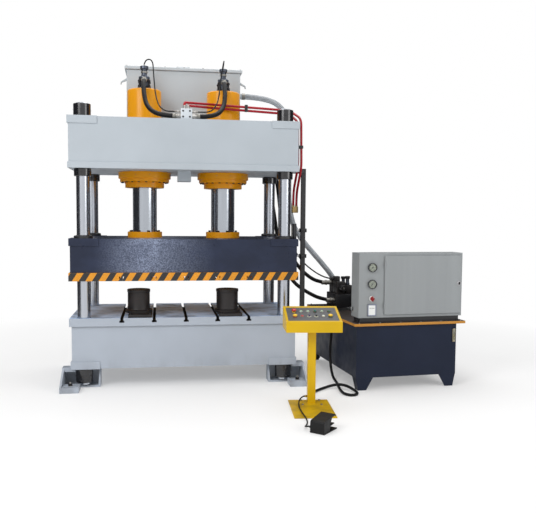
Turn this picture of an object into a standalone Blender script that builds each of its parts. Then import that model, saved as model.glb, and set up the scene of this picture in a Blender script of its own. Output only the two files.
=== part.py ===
"""A four-column hydraulic press with its power unit, operator pedestal and foot switch.

Metres, +Z up. The press stands with its columns around the point (0, 0) of the empty named press_line,
X to the operator's right and Y to the back. At the end the whole line is moved so that the world's
origin is at the middle of its footprint, on the floor.
"""

import math
from dataclasses import dataclass

import bmesh
import bpy
from mathutils import Matrix, Vector

GAP = 0.0003
FULL_TURN = 2 * math.pi

# Frame of the press
PITCH_X = 2.0
PITCH_Y = 0.98
COLUMN_R = 0.0625
COLUMN_NECK_R = 0.0565
NUT_R = 0.0825
COLUMN_STEPS = 16
COLUMN_FOOT_Z = 0.03
COLUMN_TOP_Z = 2.785

BED_HALF = (1.1135, 0.56)
BED_LOW_Z = 0.191
TABLE_LOW_Z = 0.612
TABLE_TOP_Z = 0.692
TABLE_HALF = (1.135, 0.5815)
FOOT_INNER_X = 0.845
FOOT_OUTER_X = 1.21
FOOT_WEB_Y = 0.385
FOOT_FRONT_Y = 0.525
FOOT_PLATE = 0.018
ANCHOR_INNER_X = 1.03
ANCHOR_FRONT_Y = 0.765
ANCHOR_BACK_Y = 0.60
ANCHOR_H = 0.055

CROWN_HALF = (1.123, 0.585)
CROWN_LOW_Z = 2.155
CROWN_TOP_Z = 2.651
CROWN_LIP = 0.01
CROWN_LIP_H = 0.06
CORNER_PAD = 0.27
PAD_PROUD = 0.012
PAD_RISE = 0.004
PAD_H = 0.07

SLIDE_HALF = (1.12, 0.575)
SLIDE_PLATE_HALF = (1.135, 0.59)
SLIDE_LOW_Z = 1.059
SLIDE_PLATE_TOP_Z = 1.14
SLIDE_TOP_Z = 1.472
GUIDE_CLEARANCE = 0.001
WIPER_R = 0.09
WIPER_H = 0.028

SLOT_PITCH = 0.315
SLOT_COUNT = 5
SLOT_NECK = 0.028
SLOT_HEAD = 0.048
SLOT_NECK_DEPTH = 0.024
SLOT_DEPTH = 0.044

# Main cylinders
CYLINDER_X = 0.414
CYLINDER_R = 0.175
CYLINDER_TOP_Z = 3.01
CYLINDER_STEPS = 16
FLANGE_R = 0.272
FLANGE_STEP_R = 0.255
GLAND_R = 0.2025
GLAND_LOW_Z = 1.993
BORE_R = 0.145
BORE_TOP_Z = 2.87
PLUNGER_R = 0.125
PLUNGER_FLANGE_R = 0.18
PLUNGER_FLANGE_H = 0.06
PISTON_LOW_Z = 2.27
PISTON_TOP_Z = 2.40

# Header tank on the crown
TANK_X = (-0.605, 0.62)
TANK_Y = (0.20, 0.60)
TANK_LID_Z = 3.265
TANK_TOP_Z = 3.30
TANK_CAP_TOP_Z = 3.335

# Steel pipes along the crown
PIPE_R = 0.0125

# Power unit, turned a little about the front left corner of its cover
UNIT_TURN = math.radians(5)
UNIT_X = (1.64, 2.715)
UNIT_Y = (-1.0, 0.52)
UNIT_LEG_H = 0.124
UNIT_WALL_TOP_Z = 0.64
COVER_X = (1.61, 2.80)
COVER_Y = (-1.03, 0.55)
COVER_TOP_Z = 0.667
CABINET_X = (1.664, 2.775)
CABINET_Y = (-0.98, -0.78)
CABINET_Z = (0.715, 1.353)
CABINET_WALL = 0.012
DOOR_X = (1.93, 2.761)
DOOR_Z = (0.745, 1.326)
LOCK_X = 2.735
DOOR_T = 0.016
GAUGE_X = 1.80
GAUGE_UPPER_Z = 1.212
GAUGE_LOWER_Z = 1.047
GAUGE_R = 0.045
NECK_AT = (1.99, 0.495)
NECK_TOP_Z = 0.80
VALVE_AT = (1.82, 0.106)
PORT_UPPER = (-0.03, 0.25, 0.275)
PORT_LOWER = (-0.03, 0.08, 0.09)
PORT_SIGNAL = (-0.005, 0.16, 0.33)
SUCTION_D = 0.062
FILL_D = 0.046
FILL_PORT = (0, -0.104, 0.101)

# Operator stand
STAND_AT = (1.10, -1.40)
STAND_TURN = math.radians(-5)
BOX_LOW_Z = 0.68
BOX_FRONT_Z = 0.775
BOX_BACK_Z = 0.87
BOX_HALF_X = 0.25
BOX_HALF_Y = 0.18
DEVICE_PITCH = 0.064
DEVICE_ROWS = {"near": -0.055, "far": 0.055}
DEVICE_STEPS = 8
COLLAR_STEPS = 8
COLLAR_R = 0.0175
POCKET_R = 0.0139
SHANK_R = 0.0125
POCKET_LOW = -0.017
SHANK_LOW = -0.0115
COLLAR_TOP = 0.006

FOOT_SWITCH_AT = (1.026, -2.20)
FOOT_SWITCH_TURN = math.radians(48)

# Cord routes
CORD_SPACING = 3.0
ROUTE_SAMPLES = 20
ROUTE_POINTS = 241
ROUTE_PASSES = 24

PALETTE = {
    "pale_grey": ((0.49, 0.54, 0.59), 0.42, 0.0),
    "bed_grey": ((0.40, 0.45, 0.50), 0.45, 0.0),
    "table_steel": ((0.30, 0.28, 0.26), 0.5, 0.9),
    "slate": ((0.045, 0.055, 0.085), 0.4, 0.0),
    "orange": ((0.80, 0.36, 0.02), 0.35, 0.0),
    "yellow": ((0.73, 0.49, 0.01), 0.4, 0.0),
    "navy": ((0.02, 0.026, 0.05), 0.45, 0.0),
    "cabinet_grey": ((0.33, 0.35, 0.35), 0.45, 0.0),
    "chrome": ((0.65, 0.66, 0.68), 0.15, 1.0),
    "black": ((0.015, 0.015, 0.017), 0.5, 0.0),
    "cast": ((0.024, 0.02, 0.019), 0.6, 0.3),
    "red": ((0.35, 0.012, 0.02), 0.4, 0.0),
    "green": ((0.01, 0.12, 0.05), 0.4, 0.0),
    "ivory": ((0.62, 0.66, 0.6), 0.4, 0.0),
    "rubber": ((0.012, 0.012, 0.013), 0.6, 0.0),
    "clear_hose": ((0.45, 0.48, 0.50), 0.3, 0.0),
    "zinc": ((0.42, 0.42, 0.40), 0.4, 0.9),
}


def clear_scene():
    for obj in list(bpy.data.objects):
        bpy.data.objects.remove(obj)


def finished(bm):
    """The bmesh as a mesh whose faces point out."""
    bmesh.ops.recalc_face_normals(bm, faces=bm.faces[:])
    mesh = bpy.data.meshes.new("shape")
    bm.to_mesh(mesh)
    bm.free()
    return mesh


def block(low, high, chamfer=0.0):
    """A rectangular block between two opposite corners."""
    middle = (Vector(low) + Vector(high)) / 2
    size = Vector(high) - Vector(low)
    bm = bmesh.new()
    bmesh.ops.create_cube(bm, size=1.0, matrix=Matrix.Translation(middle) @ Matrix.Diagonal((*size, 1.0)))
    if chamfer:
        bmesh.ops.bevel(bm, geom=bm.edges[:], offset=chamfer, segments=1, affect="EDGES")
    return finished(bm)


def prism(outline, axis, start, end):
    """An outline in the plane across the axis, carried along it from start to end."""
    bm = bmesh.new()
    corners = []
    for u, v in outline:
        place = {"X": (start, u, v), "Y": (u, start, v), "Z": (u, v, start)}[axis]
        corners.append(bm.verts.new(place))
    face = bm.faces.new(corners)
    grown = bmesh.ops.extrude_face_region(bm, geom=[face])["geom"]
    along = {"X": Vector((1, 0, 0)), "Y": Vector((0, 1, 0)), "Z": Vector((0, 0, 1))}[axis]
    moved = [item for item in grown if isinstance(item, bmesh.types.BMVert)]
    bmesh.ops.translate(bm, verts=moved, vec=along * (end - start))
    return finished(bm)


def turned(profile, steps):
    """A profile of (radius, z) spun about Z. Its ends lie on the axis, or it is a closed ring."""
    bm = bmesh.new()
    points = [bm.verts.new((radius, 0, z)) for radius, z in profile]
    edges = [bm.edges.new(pair) for pair in zip(points, points[1:])]
    if profile[0][0] > 0 and profile[-1][0] > 0:
        edges.append(bm.edges.new((points[-1], points[0])))
    bmesh.ops.spin(bm, geom=points + edges, cent=(0, 0, 0), axis=(0, 0, 1), angle=FULL_TURN, steps=steps)
    bmesh.ops.remove_doubles(bm, verts=bm.verts[:], dist=1e-6)
    return finished(bm)


def rod(radius, start, end, steps=16):
    """A plain round bar between two points."""
    start, end = Vector(start), Vector(end)
    along = end - start
    place = Matrix.Translation((start + end) / 2) @ along.to_track_quat("Z", "Y").to_matrix().to_4x4()
    bm = bmesh.new()
    bmesh.ops.create_cone(
        bm, cap_ends=True, segments=steps, radius1=radius, radius2=radius, depth=along.length, matrix=place
    )
    return finished(bm)


def placed(mesh, place):
    mesh.transform(place)
    return mesh


def combined(base, others, operation):
    """The base joined to, or cut by, each of the other shapes in turn."""
    body = bpy.data.objects.new("base", base)
    bpy.context.scene.collection.objects.link(body)
    helpers = []
    for shape in others:
        helper = bpy.data.objects.new("helper", shape)
        bpy.context.scene.collection.objects.link(helper)
        helpers.append(helper)
        step = body.modifiers.new("step", "BOOLEAN")
        step.operation = operation
        step.solver = "EXACT"
        step.object = helper
    graph = bpy.context.evaluated_depsgraph_get()
    result = bpy.data.meshes.new_from_object(body.evaluated_get(graph))
    for obj in [body, *helpers]:
        bpy.data.objects.remove(obj)
    return result


def united(base, *others):
    return combined(base, others, "UNION")


def cut(base, *others):
    return combined(base, others, "DIFFERENCE")


def corners_of(half_x, half_y):
    """The four corners (x, y) with their signs, front left first."""
    for side_y in (-1, 1):
        for side_x in (-1, 1):
            yield side_x, side_y, side_x * half_x, side_y * half_y


def empty(name, parent=None, at=(0, 0, 0), turn=(0, 0, 0)):
    obj = bpy.data.objects.new(name, None)
    bpy.context.scene.collection.objects.link(obj)
    obj.parent = parent
    obj.location = at
    obj.rotation_euler = turn
    return obj


def piece(name, mesh, colour, parent, at=(0, 0, 0), turn=(0, 0, 0), sharp_from=35):
    """A named sub-part with its own material, placed under its parent."""
    obj = bpy.data.objects.new(name, mesh)
    mesh.name = name
    bpy.context.scene.collection.objects.link(obj)
    obj.parent = parent
    obj.location = at
    obj.rotation_euler = turn
    mesh.shade_smooth()
    mesh.set_sharp_from_angle(angle=math.radians(sharp_from))
    dress(obj, colour)
    return obj


def dress(obj, colour):
    tint, roughness, metallic = PALETTE[colour]
    finish = bpy.data.materials.new(obj.name)
    finish.use_nodes = True
    shader = finish.node_tree.nodes["Principled BSDF"]
    shader.inputs["Base Color"].default_value = (*tint, 1.0)
    shader.inputs["Roughness"].default_value = roughness
    shader.inputs["Metallic"].default_value = metallic
    obj.data.materials.clear()
    obj.data.materials.append(finish)


def evenly(points, count):
    """The same path as this many points at equal distances along it."""
    lengths = [(b - a).length for a, b in zip(points, points[1:])]
    step, kept, walked = sum(lengths) / (count - 1), [points[0]], 0.0
    for a, b, length in zip(points, points[1:], lengths):
        while len(kept) < count - 1 and walked + length >= len(kept) * step:
            kept.append(a.lerp(b, (len(kept) * step - walked) / length))
        walked += length
    return [*kept, points[-1]]


def smooth_route(points, spacing):
    """Points this far apart on a smooth curve by way of the route's points, with both end runs kept straight."""
    route = [Vector(point) for point in points]
    dense = []
    for before, a, b, after in zip(route, route[1:], route[2:], route[3:]):
        for index in range(ROUTE_SAMPLES):
            t = index / ROUTE_SAMPLES
            bend = 2 * before - 5 * a + 4 * b - after
            dense.append((2 * a + (b - before) * t + bend * t * t + (3 * a - before - 3 * b + after) * t ** 3) / 2)
    dense = evenly([*dense, route[-2]], ROUTE_POINTS)
    for _ in range(ROUTE_PASSES):
        relaxed = [(a + 2 * b + c) / 4 for a, b, c in zip(dense, dense[1:], dense[2:])]
        dense = [dense[0], *relaxed, dense[-1]]
    length = sum((b - a).length for a, b in zip(dense, dense[1:]))
    return [route[0], *evenly(dense, max(6, round(length / spacing) + 1)), route[-1]]


def cord(name, points, diameter, colour, parent):
    """A free hose or cable, as a plain tube along its route."""
    curve = bpy.data.curves.new(name, "CURVE")
    curve.dimensions = "3D"
    curve.bevel_depth = diameter / 2
    curve.bevel_resolution = 2
    curve.use_fill_caps = True
    route = smooth_route(points, CORD_SPACING * diameter)
    spline = curve.splines.new("POLY")
    spline.points.add(len(route) - 1)
    for knot, place in zip(spline.points, route):
        knot.co = (*place, 1.0)
    obj = bpy.data.objects.new(name, curve)
    bpy.context.scene.collection.objects.link(obj)
    obj.parent = parent
    dress(obj, colour)
    return obj


def bent_pipe(points, radius, bend, steps=6):
    """A rigid pipe: straight runs with round bends, swept as one closed tube."""
    route = [Vector(point) for point in points]
    path = [route[0]]
    for before, corner, after in zip(route, route[1:], route[2:]):
        into, out = (corner - before).normalized(), (after - corner).normalized()
        reach = min(bend, (corner - before).length / 2.1, (after - corner).length / 2.1)
        first, last = corner - into * reach, corner + out * reach
        for t in (0.0, 0.5, 1.0):
            path.append(first * (1 - t) ** 2 + 2 * corner * t * (1 - t) + last * t * t)
    path.append(route[-1])
    bm = bmesh.new()
    rings = []
    side = (path[1] - path[0]).orthogonal().normalized()
    for index, place in enumerate(path):
        along = (path[min(index + 1, len(path) - 1)] - path[max(index - 1, 0)]).normalized()
        side = (side - along * side.dot(along)).normalized()
        other = along.cross(side)
        ring = []
        for step in range(steps):
            angle = FULL_TURN * step / steps
            ring.append(bm.verts.new(place + radius * (side * math.cos(angle) + other * math.sin(angle))))
        rings.append(ring)
    for ring, following in zip(rings, rings[1:]):
        for step in range(steps):
            after = (step + 1) % steps
            bm.faces.new((ring[step], ring[after], following[after], following[step]))
    bm.faces.new(rings[0][::-1])
    bm.faces.new(rings[-1])
    return finished(bm)


def slot_centres():
    return [(index - (SLOT_COUNT - 1) / 2) * SLOT_PITCH for index in range(SLOT_COUNT)]


def slotted_plate(half, mouth_z, back_z):
    """A plate with T-slots along Y in its working face, and a hole at each column."""
    inward = 1 if back_z > mouth_z else -1
    neck_end = mouth_z + inward * SLOT_NECK_DEPTH
    floor = mouth_z + inward * SLOT_DEPTH
    outline = [(-half[0], back_z), (-half[0], mouth_z)]
    for centre in slot_centres():
        left_neck, right_neck = centre - SLOT_NECK / 2, centre + SLOT_NECK / 2
        left_head, right_head = centre - SLOT_HEAD / 2, centre + SLOT_HEAD / 2
        outline += [(left_neck, mouth_z), (left_neck, neck_end), (left_head, neck_end), (left_head, floor)]
        outline += [(right_head, floor), (right_head, neck_end), (right_neck, neck_end), (right_neck, mouth_z)]
    outline += [(half[0], mouth_z), (half[0], back_z)]
    plate = prism(outline, "Y", -half[1], half[1])
    return cut(plate, *column_holes(COLUMN_R + 0.005, min(mouth_z, back_z), max(mouth_z, back_z)))


def column_holes(radius, low_z, high_z):
    """A cutter at each column, longer than the wall it goes through."""
    over = 0.05
    for _, _, x, y in corners_of(PITCH_X / 2, PITCH_Y / 2):
        yield rod(radius, (x, y, low_z - over), (x, y, high_z + over), COLUMN_STEPS)


def corner_pads(half, low_z, high_z):
    """A pad at each corner of a beam, standing a little proud of its two outer faces."""
    for side_x, side_y, x, y in corners_of(*half):
        inner = (x - side_x * CORNER_PAD, y - side_y * CORNER_PAD)
        outer = (x + side_x * PAD_PROUD, y + side_y * PAD_PROUD)
        low = (min(inner[0], outer[0]), min(inner[1], outer[1]), low_z)
        high = (max(inner[0], outer[0]), max(inner[1], outer[1]), high_z)
        yield block(low, high)


def foot_shapes(side_x, side_y):
    """One welded foot of the bed: web behind the nut, sole, two cheeks and the anchor block."""
    def across(x_from, x_to, y_from, y_to, z_from, z_to):
        xs = sorted((side_x * x_from, side_x * x_to))
        ys = sorted((side_y * y_from, side_y * y_to))
        return block((xs[0], ys[0], z_from), (xs[1], ys[1], z_to))

    into_bed = BED_LOW_Z + 0.03
    web_back = FOOT_WEB_Y - FOOT_PLATE
    yield across(FOOT_INNER_X, FOOT_OUTER_X - 0.1, web_back, FOOT_WEB_Y, 0.0, into_bed)
    yield across(FOOT_INNER_X, FOOT_OUTER_X, web_back, FOOT_WEB_Y, 0.0, BED_LOW_Z - 0.004)
    yield across(FOOT_INNER_X, FOOT_OUTER_X, web_back, FOOT_FRONT_Y, 0.0, FOOT_PLATE)
    cheek = [
        (side_y * web_back, 0.0), (side_y * web_back, into_bed),
        (side_y * (FOOT_WEB_Y + 0.01), into_bed), (side_y * FOOT_FRONT_Y, FOOT_PLATE + 0.02),
        (side_y * FOOT_FRONT_Y, 0.0),
    ]
    inner = sorted((side_x * FOOT_INNER_X, side_x * (FOOT_INNER_X + FOOT_PLATE)))
    yield prism(cheek, "X", *inner)
    brace_top = BED_HALF[1] - 0.02
    brace = [
        (side_y * web_back, 0.0), (side_y * web_back, BED_LOW_Z - 0.004), (side_y * brace_top, BED_LOW_Z - 0.004),
        (side_y * ANCHOR_FRONT_Y, ANCHOR_H * 0.9), (side_y * ANCHOR_FRONT_Y, 0.0),
    ]
    outer = sorted((side_x * (FOOT_OUTER_X - FOOT_PLATE), side_x * FOOT_OUTER_X))
    yield prism(brace, "X", *outer)
    yield across(BED_HALF[0] - 0.03, FOOT_OUTER_X, BED_HALF[1] - 0.12, BED_HALF[1] - 0.02, BED_LOW_Z - 0.03,
                 BED_LOW_Z + 0.012)
    yield across(ANCHOR_INNER_X, FOOT_OUTER_X - 0.006, ANCHOR_BACK_Y, ANCHOR_FRONT_Y - 0.004, 0.0, ANCHOR_H)
    yield across(ANCHOR_INNER_X + 0.01, FOOT_OUTER_X - 0.006, FOOT_FRONT_Y - 0.03, ANCHOR_BACK_Y + 0.01, 0.0,
                 FOOT_PLATE)


def build_bed(press):
    body = block((-BED_HALF[0], -BED_HALF[1], BED_LOW_Z), (BED_HALF[0], BED_HALF[1], TABLE_LOW_Z))
    shapes = list(corner_pads(BED_HALF, BED_LOW_Z - PAD_RISE, BED_LOW_Z + PAD_H))
    for side_x, side_y, _, _ in corners_of(1, 1):
        shapes += foot_shapes(side_x, side_y)
    bed = cut(united(body, *shapes), *column_holes(COLUMN_R + GAP, BED_LOW_Z, TABLE_LOW_Z))
    piece("bed", bed, "bed_grey", press)
    table = slotted_plate(TABLE_HALF, TABLE_TOP_Z, TABLE_LOW_Z + GAP)
    piece("bolster_plate", table, "table_steel", press)


def build_columns(press):
    """Each column is turned, with its foot nut, its nut under the crown and its top nut on it."""
    pad_face = CROWN_TOP_Z + PAD_RISE + GAP
    nut_top = pad_face + 0.12
    under = CROWN_LOW_Z - GAP
    nut_low = under - 0.075
    foot_face = BED_LOW_Z - PAD_RISE - GAP
    names = ("column_front_left", "column_front_right", "column_rear_left", "column_rear_right")
    for name, (_, _, x, y) in zip(names, corners_of(PITCH_X / 2, PITCH_Y / 2)):
        profile = [
            (0.0, COLUMN_TOP_Z), (COLUMN_NECK_R, COLUMN_TOP_Z), (COLUMN_NECK_R, nut_top), (NUT_R, nut_top),
            (NUT_R, pad_face), (COLUMN_R, pad_face), (COLUMN_R, under), (NUT_R, under), (NUT_R, nut_low),
            (COLUMN_R, nut_low), (COLUMN_R, foot_face), (NUT_R, foot_face), (NUT_R, COLUMN_FOOT_Z + 0.02),
            (COLUMN_R, COLUMN_FOOT_Z), (0.0, COLUMN_FOOT_Z),
        ]
        piece(name, turned(profile, COLUMN_STEPS), "chrome", press, at=(x, y, 0))


def build_crown(press):
    low, top = CROWN_LOW_Z, CROWN_TOP_Z
    body = block((-CROWN_HALF[0], -CROWN_HALF[1], low), (CROWN_HALF[0], CROWN_HALF[1], top))
    lip = block(
        (-CROWN_HALF[0] - CROWN_LIP, -CROWN_HALF[1] - CROWN_LIP, low),
        (CROWN_HALF[0] + CROWN_LIP, CROWN_HALF[1] + CROWN_LIP, low + CROWN_LIP_H),
    )
    shapes = [lip, *corner_pads(CROWN_HALF, top - PAD_H, top + PAD_RISE)]
    shapes.append(block((-0.075, -0.30, 2.055), (0.06, -0.12, low + 0.02)))
    for x, z in ((1.03, 2.40), (0.93, 2.30)):
        shapes.append(rod(0.028, (x, CROWN_HALF[1] - 0.02, z), (x, CROWN_HALF[1] + 0.035, z), 12))
    shapes.append(rod(0.014, (0.99, CROWN_HALF[1] - 0.02, 2.52), (0.99, CROWN_HALF[1] + 0.03, 2.52), 12))
    holes = list(column_holes(COLUMN_R + GAP, low, top))
    for x in (-CYLINDER_X, CYLINDER_X):
        holes.append(rod(CYLINDER_R + GAP, (x, 0, low - 0.05), (x, 0, top + 0.05), CYLINDER_STEPS))
    piece("crown", cut(united(body, *shapes), *holes), "pale_grey", press)


def build_cylinders(press):
    """Each barrel drops through the crown, with a stepped flange and gland below it, and is open below."""
    under = CROWN_LOW_Z - GAP
    gland_r = PLUNGER_R + 0.0006
    profile = [
        (0.0, CYLINDER_TOP_Z), (CYLINDER_R - 0.012, CYLINDER_TOP_Z), (CYLINDER_R, CYLINDER_TOP_Z - 0.012),
        (CYLINDER_R, under), (FLANGE_R, under), (FLANGE_R, 2.088), (FLANGE_STEP_R, 2.088),
        (FLANGE_STEP_R, 2.052), (GLAND_R, 2.052), (GLAND_R, GLAND_LOW_Z), (gland_r, GLAND_LOW_Z),
        (gland_r, 2.10), (BORE_R, 2.12),
        (BORE_R, BORE_TOP_Z), (0.0, BORE_TOP_Z),
    ]
    for name, x in (("cylinder_left", -CYLINDER_X), ("cylinder_right", CYLINDER_X)):
        piece(name, turned(profile, CYLINDER_STEPS), "orange", press, at=(x, 0, 0))


def build_fill_valves(press):
    """The prefill valve on each cylinder: studs through a square foot, a waisted body and a side port."""
    profile = [
        (0.0, 0.25), (0.0425, 0.25), (0.0425, 0.222), (0.034, 0.216), (0.028, 0.175),
        (0.036, 0.142), (0.058, 0.138), (0.058, 0.110), (0.045, 0.105), (0.045, 0.0), (0.0, 0.0),
    ]
    for name, x in (("fill_valve_left", -CYLINDER_X), ("fill_valve_right", CYLINDER_X)):
        body = turned(profile, 12)
        shapes = [block((-0.068, -0.068, 0.0), (0.068, 0.068, 0.028))]
        for _, _, stud_x, stud_y in corners_of(0.05, 0.05):
            shapes.append(rod(0.0155, (stud_x, stud_y, 0.01), (stud_x, stud_y, 0.104), 6))
        shapes.append(rod(FILL_D / 2, (0, -0.02, 0.1316), FILL_PORT, 10))
        piece(name, united(body, *shapes), "zinc", press, at=(x, 0, CYLINDER_TOP_Z + GAP))


def build_header_tank(press):
    low_x, high_x = TANK_X
    front, back = TANK_Y
    shell = block((low_x, front, CROWN_TOP_Z + GAP), (high_x, back, TANK_LID_Z), 0.004)
    hook = [(0.0, 0.0), (0.0, 0.028), (0.072, -0.016), (0.078, -0.045), (0.066, -0.043), (0.062, -0.025)]
    shapes = [rod(0.032, (high_x - 0.02, 0.45, 3.06), (high_x + 0.045, 0.45, 3.06), 16)]
    for side, wall in ((-1, low_x), (1, high_x)):
        outline = [(wall + side * (u - 0.01), 3.155 + v) for u, v in hook]
        shapes.append(prism(outline, "Y", front + 0.03, front + 0.06))
    piece("header_tank", united(shell, *shapes), "pale_grey", press)
    lid = block((low_x - 0.02, front - 0.02, TANK_LID_Z + GAP), (high_x + 0.02, back + 0.02, TANK_TOP_Z), 0.004)
    cap = block((-0.075, 0.30, TANK_TOP_Z - 0.01), (0.075, 0.45, TANK_CAP_TOP_Z), 0.006)
    piece("header_tank_lid", united(lid, cap), "pale_grey", press)


def build_crown_plumbing(press):
    """The manifold at the crown's front edge, and the pair of steel pipes from it to the right side."""
    base = CROWN_TOP_Z + GAP
    body = block((-0.052, -0.572, base), (0.058, -0.492, 2.752))
    shapes = []
    for side, wall in ((-1, -0.052), (1, 0.058)):
        start = wall - side * 0.01
        shapes.append(rod(0.019, (start, -0.532, 2.680), (wall + side * 0.045, -0.532, 2.680), 8))
        shapes.append(rod(0.026, (wall + side * 0.012, -0.532, 2.680), (wall + side * 0.034, -0.532, 2.680), 6))
        shapes.append(rod(0.009, (start, -0.515, 2.728), (wall + side * 0.04, -0.515, 2.728), 6))
    for x in (-0.016, 0.021):
        shapes.append(rod(0.013, (x, -0.532, 2.74), (x, -0.532, 2.77), 6))
    piece("crown_manifold", united(body, *shapes), "pale_grey", press)

    front = [
        (-0.016, -0.532, 2.7703), (-0.016, -0.532, 2.815), (0.30, -0.22, 2.852), (1.09, -0.22, 2.816),
        (1.18, -0.42, 2.71), (1.18, -0.455, 2.21), (1.178, -0.235, 1.96), (1.178, -0.22, 1.80),
    ]
    rear = [
        (0.021, -0.532, 2.7703), (0.021, -0.532, 2.785), (0.30, -0.215, 2.818), (1.09, -0.205, 2.782),
        (1.152, -0.395, 2.68), (1.152, -0.43, 2.23), (1.15, -0.205, 1.98), (1.15, -0.19, 1.80),
    ]
    pair = [bent_pipe(route, PIPE_R, 0.07) for route in (front, rear)]
    clips = [
        block((0.62, -0.24, 2.79), (0.65, -0.195, 2.86)),
        block((1.137, -0.47, 2.40), (1.196, -0.415, 2.43)),
        block((1.135, -0.24, 1.745), (1.195, -0.17, 1.81)),
    ]
    piece("pressure_pipes", united(clips[0], *pair, *clips[1:]), "red", press)


def build_limit_rail(press):
    """The square rail beside the slide that carries the two position sensors."""
    x, y = 1.235, -0.30
    half = 0.023
    bar = block((x - half, y - half, 0.64), (x + half, y + half, 2.205))
    upper = block((CROWN_HALF[0] + CROWN_LIP + GAP, y - 0.03, 2.155), (x, y + 0.03, 2.190))
    lower = block((TABLE_HALF[0] + GAP, y - 0.03, 0.645), (x, y + 0.03, 0.675))
    piece("limit_rail", united(bar, upper, lower), "black", press)
    for name, z in (("limit_sensor_upper", 1.56), ("limit_sensor_lower", 1.29)):
        clamp = block((-0.035, -0.035, -0.02), (0.035, 0.035, 0.02))
        hole = block((-half - GAP, -half - GAP, -0.05), (half + GAP, half + GAP, 0.05))
        barrel = rod(0.009, (-0.025, 0.0, 0.0), (-0.06, 0.0, 0.0), 10)
        bolt = rod(0.007, (0.0, -0.031, 0.0), (0.0, -0.045, 0.0), 6)
        piece(name, united(cut(clamp, hole), barrel, bolt), "black", press, at=(x, y, z))


def build_punch_blocks(press):
    """The two cast die blocks that stand on the table, each on its clamping plate."""
    profile = [
        (0.0, 0.259), (0.101, 0.259), (0.103, 0.262), (0.1155, 0.262), (0.1155, 0.235), (0.111, 0.23),
        (0.111, 0.062), (0.135, 0.052), (0.135, 0.028), (0.0, 0.028),
    ]
    for name, x, y in (("punch_block_left", -0.472, -0.33), ("punch_block_right", 0.43, -0.36)):
        plate = block((-0.098, 0.01 - TABLE_HALF[1] - y, 0.0), (0.135, 0.18, 0.030))
        piece(name, united(plate, turned(profile, COLUMN_STEPS)), "cast", press, at=(x, y, TABLE_TOP_Z + GAP))


def build_slide(press):
    """The moving beam with its slotted face plate, the two plungers and the striker."""
    slide = empty("slide", press)
    low = SLIDE_PLATE_TOP_Z + GAP
    body = block((-SLIDE_HALF[0], -SLIDE_HALF[1], low), (SLIDE_HALF[0], SLIDE_HALF[1], SLIDE_TOP_Z))
    shapes = list(corner_pads(SLIDE_HALF, SLIDE_TOP_Z - PAD_H, SLIDE_TOP_Z + PAD_RISE))
    for _, _, x, y in corners_of(PITCH_X / 2, PITCH_Y / 2):
        shapes.append(rod(WIPER_R, (x, y, SLIDE_TOP_Z - 0.02), (x, y, SLIDE_TOP_Z + WIPER_H), COLUMN_STEPS))
    holes = column_holes(COLUMN_R + GUIDE_CLEARANCE, low, SLIDE_TOP_Z)
    piece("slide_beam", cut(united(body, *shapes), *holes), "slate", slide)
    piece("slide_plate", slotted_plate(SLIDE_PLATE_HALF, SLIDE_LOW_Z, SLIDE_PLATE_TOP_Z), "orange", slide)

    foot = SLIDE_TOP_Z + GAP
    piston_r = BORE_R - 0.0006
    profile = [
        (0.0, PISTON_TOP_Z), (piston_r, PISTON_TOP_Z), (piston_r, PISTON_LOW_Z), (PLUNGER_R, PISTON_LOW_Z),
        (PLUNGER_R, foot + PLUNGER_FLANGE_H), (PLUNGER_FLANGE_R, foot + PLUNGER_FLANGE_H),
        (PLUNGER_FLANGE_R, foot), (0.0, foot),
    ]
    for name, x in (("plunger_left", -CYLINDER_X), ("plunger_right", CYLINDER_X)):
        piece(name, turned(profile, CYLINDER_STEPS), "chrome", slide, at=(x, 0, 0))

    base = SLIDE_TOP_Z + PAD_RISE + GAP
    post = rod(0.022, (0, 0, 0.01), (0, 0, 0.155), 12)
    plate = block((-0.011, -0.035, 0.0), (0.017, 0.20, 0.012))
    pin = rod(0.006, (0.004, 0.17, 0.006), (0.004, 0.17, 0.13), 8)
    piece("slide_striker", united(plate, post, pin), "black", slide, at=(1.115, -0.45, base))


def unit_place():
    """Where the power unit's own coordinates lie in the line."""
    pivot = Matrix.Translation((COVER_X[0], COVER_Y[0], 0))
    return pivot @ Matrix.Rotation(UNIT_TURN, 4, "Z") @ pivot.inverted()


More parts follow.
